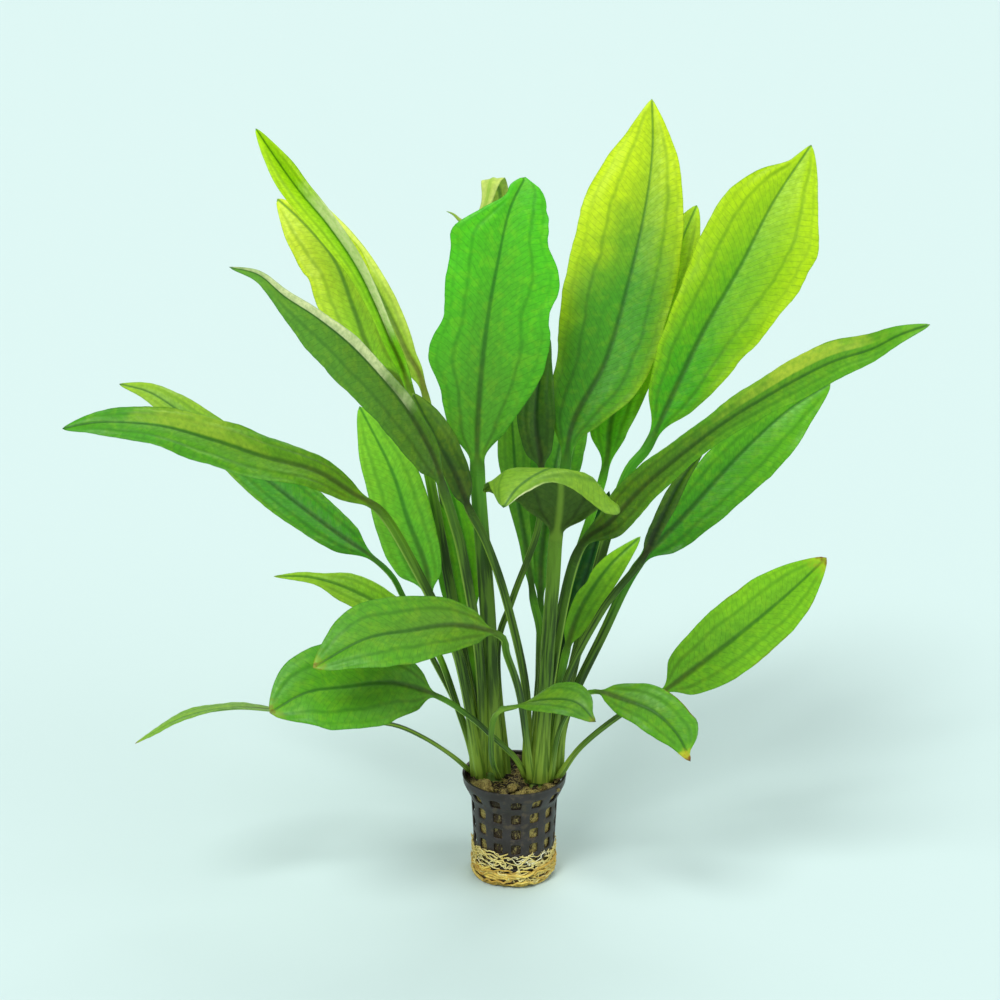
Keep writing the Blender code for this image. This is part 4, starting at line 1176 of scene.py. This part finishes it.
def veined(tree, leaf, at, vein, colour):
    """Darkens the blade at its veins and with painted shade on its lower face, where the midrib is pale."""
    midrib = times(tree, times(tree, vein["Midrib"], 0.85), ease(tree, at.upper, 0.0, 1.0, 0.2, 1.0))
    dark = strongest(tree, midrib, times(tree, vein["Side Veins"], 0.45),
                     times(tree, vein["Cross Veins"], 0.36))
    shade = blend(tree, ease(tree, at.along, 0.05, 0.55), BASE_VEIN_SHADE, VEIN_SHADE)
    colour = blend(tree, dark, colour, shade, "MULTIPLY")
    # Painted shade: the lower face darkens as if turned away from the light
    under = tuple(1.0 - leaf.under * (1.0 - share) for share in UNDER_SHADE)
    colour = blend(tree, at.lower, colour, under, "MULTIPLY")
    return blend(tree, times(tree, times(tree, at.lower, vein["Midrib"]), 0.7), colour, RIB_AND_STALK_HIGHLIGHT)


def with_painted_sheen(tree, leaf, at, mottle, colour):
    """Paints a highlight on part of one half of the blade, paler or yellower, and on the reaching leaf also
    its yellow margin.
    """
    side, start, end, inner, strength, pale = leaf.pale
    edge = times(tree, at.across, 1.0 if side == "right" else -1.0)
    place = scaled(tree, mottle["Broad"], 0.16, maths(tree, "SUBTRACT", at.along, 0.08))
    lengthwise = times(tree, ease(tree, place, start, start + 0.22),
                       ease(tree, place, end - 0.22, end + 0.04, 1.0, 0.0))
    patch = times(tree, ease(tree, edge, inner, inner + 0.10, 0.0, strength), lengthwise)
    return blend(tree, patch, colour, blend(tree, times(tree, mottle["Fine"], 0.4), pale, colour))


def stalk_greens(tree, leaf, at):
    """A ribbed stalk with a pale foot and painted highlights along its edges, which turns to the blade's
    green further up.
    """
    lengthwise = {"X": times(tree, at.across, 2.2), "Y": times(tree, at.reach, 0.022),
                  "Z": times(tree, at.upper, 1.7)}
    place = add(tree, "ShaderNodeCombineXYZ", lengthwise).outputs["Vector"]
    streaks = noise_at(tree, place, 1.6, 3.0, 0.5)
    colour = blend(tree, ease(tree, streaks, 0.42, 0.60), STALK, STALK_DARK)
    colour = blend(tree, ease(tree, at.along, -0.35, 0.0, 0.0, 0.7), colour, leaf.deep)
    # Painted highlight: both edges of the stalk are lighter
    colour = blend(tree, ease(tree, at.outward, 0.60, 0.95, 0.0, 0.8), colour, RIB_AND_STALK_HIGHLIGHT)
    foot = blend(tree, ease(tree, streaks, 0.42, 0.60, 0.0, 0.75), STALK_BASE, STALK)
    return blend(tree, ease(tree, at.along, -0.95, -0.60, 0.9, 0.0), colour, foot)


def withered(tree, leaf, at, mottle, colour):
    """Turns the tip yellow and then brown, and browns patches of the margin."""
    start = 1.0 - 0.05 * leaf.brown
    place = scaled(tree, mottle["Fine"], 0.04, at.along)
    yellow = ease(tree, place, start - 0.05, start + 0.02, 0.0, 0.7 * leaf.brown)
    colour = blend(tree, yellow, colour, YELLOWED)
    edge = times(tree, ease(tree, at.rim, 0.6, 1.0), ease(tree, mottle["Broad"], 0.75, 0.95))
    brown = strongest(tree, ease(tree, place, start, start + 0.05), times(tree, edge, 0.8 * leaf.brown))
    return blend(tree, brown, colour, BROWN)


def leaf_material(leaf):
    """A waxy leaf: green from base to tip, darker veins, a ribbed stalk and a withered tip."""
    made, tree = new_material(leaf.name.replace("_", " ") + " leaf")
    at = SimpleNamespace(**{key: attribute(tree, key) for key in LEAF_LAYERS})
    at.outward = maths(tree, "ABSOLUTE", at.across)
    at.rim = maths(tree, "POWER", at.outward, 6.0)
    at.lower = maths(tree, "SUBTRACT", 1.0, at.upper)
    mottle = mottling(tree, 45.0, 420.0)
    vein = veins(tree, at, mottle["Broad"])
    blade = veined(tree, leaf, at, vein, blade_greens(tree, leaf, at, mottle))
    if leaf.pale:
        blade = with_painted_sheen(tree, leaf, at, mottle, blade)
    margin = times(tree, maths(tree, "SUBTRACT", 1.0, at.outward), at.half)
    blade = blend(tree, ease(tree, margin, 0.0, 0.7, 0.45, 0.0), blade, VEIN_SHADE, "MULTIPLY")
    colour = blend(tree, ease(tree, at.along, -0.06, 0.08), stalk_greens(tree, leaf, at), blade)
    if leaf.brown:
        colour = withered(tree, leaf, at, mottle, colour)
    roughness = scaled(tree, at.lower, 0.12, scaled(tree, mottle["Fine"], 0.12, 0.42))
    height = scaled(tree, vein["Midrib"], -0.5, times(tree, mottle["Fine"], 0.12))
    height = scaled(tree, vein["Side Veins"], -0.25, height)
    height = scaled(tree, vein["Cross Veins"], -0.20, height)
    finish(tree, colour, roughness, height, 0.35, 0.4 * MM, specular=0.28)
    return made


def crown_material(side):
    """Pale leaf bases with brown between their ribs."""
    made, tree = new_material(side + " crown")
    mottle = mottling(tree, 110.0, 700.0)
    ribs = noise_at(tree, stretched_place(tree, 0.12), 500.0, 3.0)
    colour = blend(tree, ease(tree, mottle["Broad"], 0.3, 0.8), STALK_BASE, STALK)
    colour = blend(tree, ease(tree, ribs, 0.55, 0.75, 0.0, 0.6), colour, BROWN)
    finish(tree, colour, scaled(tree, mottle["Fine"], 0.2, 0.45), ribs, 0.5, 0.5 * MM)
    return made


def pot_material():
    """Black moulded plastic, lighter purple-grey in broad patches and smeared with dried peat."""
    made, tree = new_material("black basket plastic")
    mottle = mottling(tree, 130.0, 1500.0)
    colour = blend(tree, times(tree, mottle["Broad"], 0.35), CHARCOAL, GREYED_CHARCOAL)
    smear = times(tree, ease(tree, noise_at(tree, own_place(tree), 260.0, 6.0), 0.52, 0.70), 0.55)
    colour = blend(tree, smear, colour, DUST)
    roughness = scaled(tree, smear, 0.5, scaled(tree, mottle["Broad"], 0.18, 0.34))
    height = maths(tree, "ADD", times(tree, mottle["Fine"], 0.25), smear)
    finish(tree, colour, roughness, height, 0.30, 0.25 * MM, specular=0.4)
    return made


def earthy(tree, colour, mottle, fibres):
    """A dull, rough and fibrous finish."""
    height = maths(tree, "ADD", fibres, mottle["Fine"])
    finish(tree, colour, scaled(tree, mottle["Fine"], 0.2, 0.72), height, 0.8, 0.5 * MM)


def soil_material():
    """Peat among olive-tan mineral wool, with more peat in the middle and a little to the left of it."""
    made, tree = new_material("soil")
    mottle = mottling(tree, 170.0, 1300.0)
    fibres = noise_at(tree, stretched_place(tree, 0.35), 900.0, 4.0, 0.65, 1.2)
    sideways = add(tree, "ShaderNodeSeparateXYZ", {"Vector": own_place(tree)}).outputs["X"]
    sideways = maths(tree, "ABSOLUTE", maths(tree, "ADD", sideways, 4.0 * MM))
    wool = maths(tree, "ADD", mottle["Broad"], ease(tree, sideways, 8.0 * MM, 12.0 * MM, -0.45, 0.45))
    colour = blend(tree, ease(tree, wool, 0.48, 0.73), PEAT, WOOL)
    colour = blend(tree, ease(tree, fibres, 0.52, 0.66, 0.0, 0.55), colour, FIBRE)
    colour = blend(tree, ease(tree, mottle["Fine"], 0.45, 0.9, 0.0, 0.6), colour, PEAT)
    earthy(tree, colour, mottle, fibres)
    return made


def crumb_material():
    """Crumbs from black peat to pale matted wool, each with its own tone."""
    made, tree = new_material("soil crumbs")
    mottle = mottling(tree, 420.0, 1500.0)
    fibres = noise_at(tree, own_place(tree), 1100.0, 4.0, 0.65, 1.2)
    wool = scaled(tree, mottle["Broad"], 0.45, maths(tree, "SUBTRACT", attribute(tree, "tone"), 0.2))
    colour = blend(tree, ease(tree, wool, 0.2, 0.75), PEAT, WOOL)
    matted = times(tree, ease(tree, fibres, 0.50, 0.64), ease(tree, wool, 0.1, 0.6, 0.1, 0.8))
    colour = blend(tree, matted, colour, FIBRE)
    colour = blend(tree, ease(tree, mottle["Fine"], 0.55, 0.9, 0.0, 0.7), colour, PEAT)
    earthy(tree, colour, mottle, fibres)
    return made


def root_material(name, dark, light, dirt):
    """Smooth roots, each with its own tone between two colours, and with dirt in patches."""
    made, tree = new_material(name)
    mottle = mottling(tree, 120.0, 900.0)
    tone = scaled(tree, mottle["Broad"], 0.5, times(tree, attribute(tree, "tone"), 0.6))
    colour = blend(tree, tone, dark, light)
    colour = blend(tree, times(tree, mottle["Fine"], 0.30), colour, dark)
    patches = ease(tree, noise_at(tree, own_place(tree), 330.0, 5.0), 0.50, 0.68)
    colour = blend(tree, times(tree, patches, dirt), colour, ROOT_DIRT)
    finish(tree, colour, scaled(tree, mottle["Fine"], 0.25, 0.42), mottle["Fine"], 0.4, 0.3 * MM)
    return made


# Settings

def colour_property(name, description, default):
    return bpy.props.FloatVectorProperty(name=name, description=description, default=default, size=3,
                                         min=0.0, max=1.0, subtype="COLOR")


class PlantLook(bpy.types.PropertyGroup):
    """Sizes of the plant that may be changed before its pieces are made."""

    blade_thickness: bpy.props.FloatProperty(
        name="Blade thickness", description="Thickness of a leaf blade between its veins",
        default=0.55 * MM, min=0.2 * MM, max=2.0 * MM, precision=5, unit="LENGTH")
    margin_wave: bpy.props.FloatProperty(
        name="Margin wave", description="How far the leaf margins roll", default=1.0, min=0.0, max=3.0,
        subtype="FACTOR")
    vein_relief: bpy.props.FloatProperty(
        name="Vein relief", description="How deep the veins lie in the blades", default=1.0, min=0.0,
        max=3.0, subtype="FACTOR")


class StageLook(bpy.types.PropertyGroup):
    """The floor, the lights and the camera."""

    floor_colour: colour_property("Floor colour", "Colour of the floor", paint(198, 217, 215))
    backdrop_colour: colour_property("Backdrop colour", "Colour seen beyond the floor",
                                     paint(225, 250, 247))
    light_power: bpy.props.FloatProperty(
        name="Main light", description="Strength of the main light", default=2.1, min=0.0)
    surround_strength: bpy.props.FloatProperty(
        name="Surround strength", description="Brightness of the surroundings", default=0.45, min=0.0)
    camera_distance: bpy.props.FloatProperty(
        name="Camera distance", description="Distance from the camera to the plant's middle",
        default=1.1, min=0.2, unit="LENGTH")
    camera_elevation: bpy.props.FloatProperty(
        name="Camera elevation", description="Angle of the camera above the plant's middle",
        default=math.radians(18.5), unit="ROTATION")


# Operators

class SWORD_OT_leaves(bpy.types.Operator):
    """Grow every leaf with its petiole"""

    bl_idname = "sword.leaves"
    bl_label = "Grow leaves"

    def execute(self, context):
        look = context.scene.sword_plant
        slots = {part["node"]: part["material_slot"] for part in frame["record"]["subparts"]}
        for index, leaf in enumerate(LEAVES):
            node = "leaf_" + leaf.name
            finish_piece(grow(leaf, index * LEAF_SEED_STEP, look), leaf.name + "_leaf",
                         leaf_material(leaf), slots[node], node, sharp=LEAF_SHARP)
        return {"FINISHED"}


class SWORD_OT_crowns(bpy.types.Operator):
    """Make the two short stems from which the leaves grow"""

    bl_idname = "sword.crowns"
    bl_label = "Make crowns"

    def execute(self, context):
        for side in CROWNS:
            crown_piece(side)
        return {"FINISHED"}


class SWORD_OT_pot(bpy.types.Operator):
    """Mould the basket pot"""

    bl_idname = "sword.pot"
    bl_label = "Mould pot"

    def execute(self, context):
        pot_piece()
        return {"FINISHED"}


class SWORD_OT_soil(bpy.types.Operator):
    """Fill the pot with its plug and lay crumbs on it"""

    bl_idname = "sword.soil"
    bl_label = "Fill with soil"

    def execute(self, context):
        soil_piece()
        crumb_piece()
        wool_fibre_piece()
        return {"FINISHED"}


class SWORD_OT_roots(bpy.types.Operator):
    """Wrap the foot of the pot in roots"""

    bl_idname = "sword.roots"
    bl_label = "Wrap with roots"

    def execute(self, context):
        root_pad_piece()
        for kind, strands in root_strands().items():
            strand_piece(kind + "_roots", "roots", strands, kind)
        strand_piece("underside_roots", "roots", underside_strands(), "thick")
        return {"FINISHED"}


class SWORD_OT_stage(bpy.types.Operator):
    """Lay the floor and place the lights and the camera"""

    bl_idname = "sword.stage"
    bl_label = "Set stage"

    def execute(self, context):
        look = context.scene.sword_stage
        stage_floor(look)
        stage_surroundings(look)
        stage_lights(look)
        stage_camera(look)
        return {"FINISHED"}


def stage_floor(look):
    """A pale disc that reaches far past the plant."""
    bm = bmesh.new()
    bmesh.ops.create_circle(bm, cap_ends=True, segments=96, radius=FLOOR_RADIUS)
    made, tree = new_material("pale floor")
    shader = tree.nodes["Principled BSDF"]
    shader.inputs["Base Color"].default_value = (*look.floor_colour, 1.0)
    shader.inputs["Roughness"].default_value = 0.9
    shader.inputs["Specular IOR Level"].default_value = 0.1
    floor = put("floor", finished_mesh(bm, "floor", made))


def stage_surroundings(look):
    """Even light from all sides, and a plain backdrop that the camera alone sees."""
    world = bpy.data.worlds.new("surroundings")
    world.use_nodes = True
    tree = world.node_tree
    ambient = tree.nodes["Background"]
    ambient.inputs["Color"].default_value = SURROUND_COLOUR
    ambient.inputs["Strength"].default_value = look.surround_strength
    backdrop = add(tree, "ShaderNodeBackground", {"Color": (*look.backdrop_colour, 1.0)})
    seen = add(tree, "ShaderNodeLightPath").outputs["Is Camera Ray"]
    mixed = add(tree, "ShaderNodeMixShader", {0: seen, 1: ambient.outputs[0], 2: backdrop.outputs[0]})
    tree.links.new(mixed.outputs[0], tree.nodes["World Output"].inputs["Surface"])
    bpy.context.scene.world = world
    bpy.context.scene.view_settings.view_transform = "Standard"


def stage_lights(look):
    """A broad main light from the upper left, and weaker ones from the right and from behind."""
    for name, direction, softness, share in LIGHTS:
        lamp = bpy.data.lights.new(name, "SUN")
        lamp.angle = math.radians(softness)
        lamp.energy = look.light_power * share
        made = put(name, lamp)
        made.location = Vector(direction) * 2.0
        made.rotation_euler = (-Vector(direction)).to_track_quat("-Z", "Y").to_euler()


def stage_camera(look):
    """The photo's view, level and a little above the plant's middle."""
    lens = bpy.data.cameras.new("camera")
    lens.lens = LENS
    lens.sensor_width = 36.0
    lens.clip_start = 0.02
    lens.clip_end = 50.0
    made = put("camera", lens)
    back = Vector((0.0, -math.cos(look.camera_elevation), math.sin(look.camera_elevation)))
    made.location = PLANT_MIDDLE + look.camera_distance * back
    made.rotation_euler = (math.pi / 2 - look.camera_elevation, 0.0, 0.0)
    bpy.context.scene.camera = made


class SWORD_PT_panel(bpy.types.Panel):
    """The pieces in the order in which they are made"""

    bl_idname = "SWORD_PT_panel"
    bl_label = "Potted sword plant"
    bl_space_type = "VIEW_3D"
    bl_region_type = "UI"
    bl_category = "Sword plant"

    def draw(self, context):
        for settings in (context.scene.sword_plant, context.scene.sword_stage):
            box = self.layout.box()
            for key in settings.__annotations__:
                box.prop(settings, key)
        for operator in OPERATORS:
            self.layout.operator(operator.bl_idname)


OPERATORS = (SWORD_OT_leaves, SWORD_OT_crowns, SWORD_OT_pot, SWORD_OT_soil, SWORD_OT_roots, SWORD_OT_stage)
CLASSES = (PlantLook, StageLook, *OPERATORS, SWORD_PT_panel)


def register():
    for each in CLASSES:
        bpy.utils.register_class(each)
    bpy.types.Scene.sword_plant = bpy.props.PointerProperty(type=PlantLook)
    bpy.types.Scene.sword_stage = bpy.props.PointerProperty(type=StageLook)


def unregister():
    del bpy.types.Scene.sword_stage
    del bpy.types.Scene.sword_plant
    for each in reversed(CLASSES):
        bpy.utils.unregister_class(each)


def main():
    register()
    bpy.ops.sword.leaves()
    bpy.ops.sword.crowns()
    bpy.ops.sword.pot()
    bpy.ops.sword.soil()
    bpy.ops.sword.roots()
    bpy.ops.sword.stage()


if __name__ == "__main__":
    main()
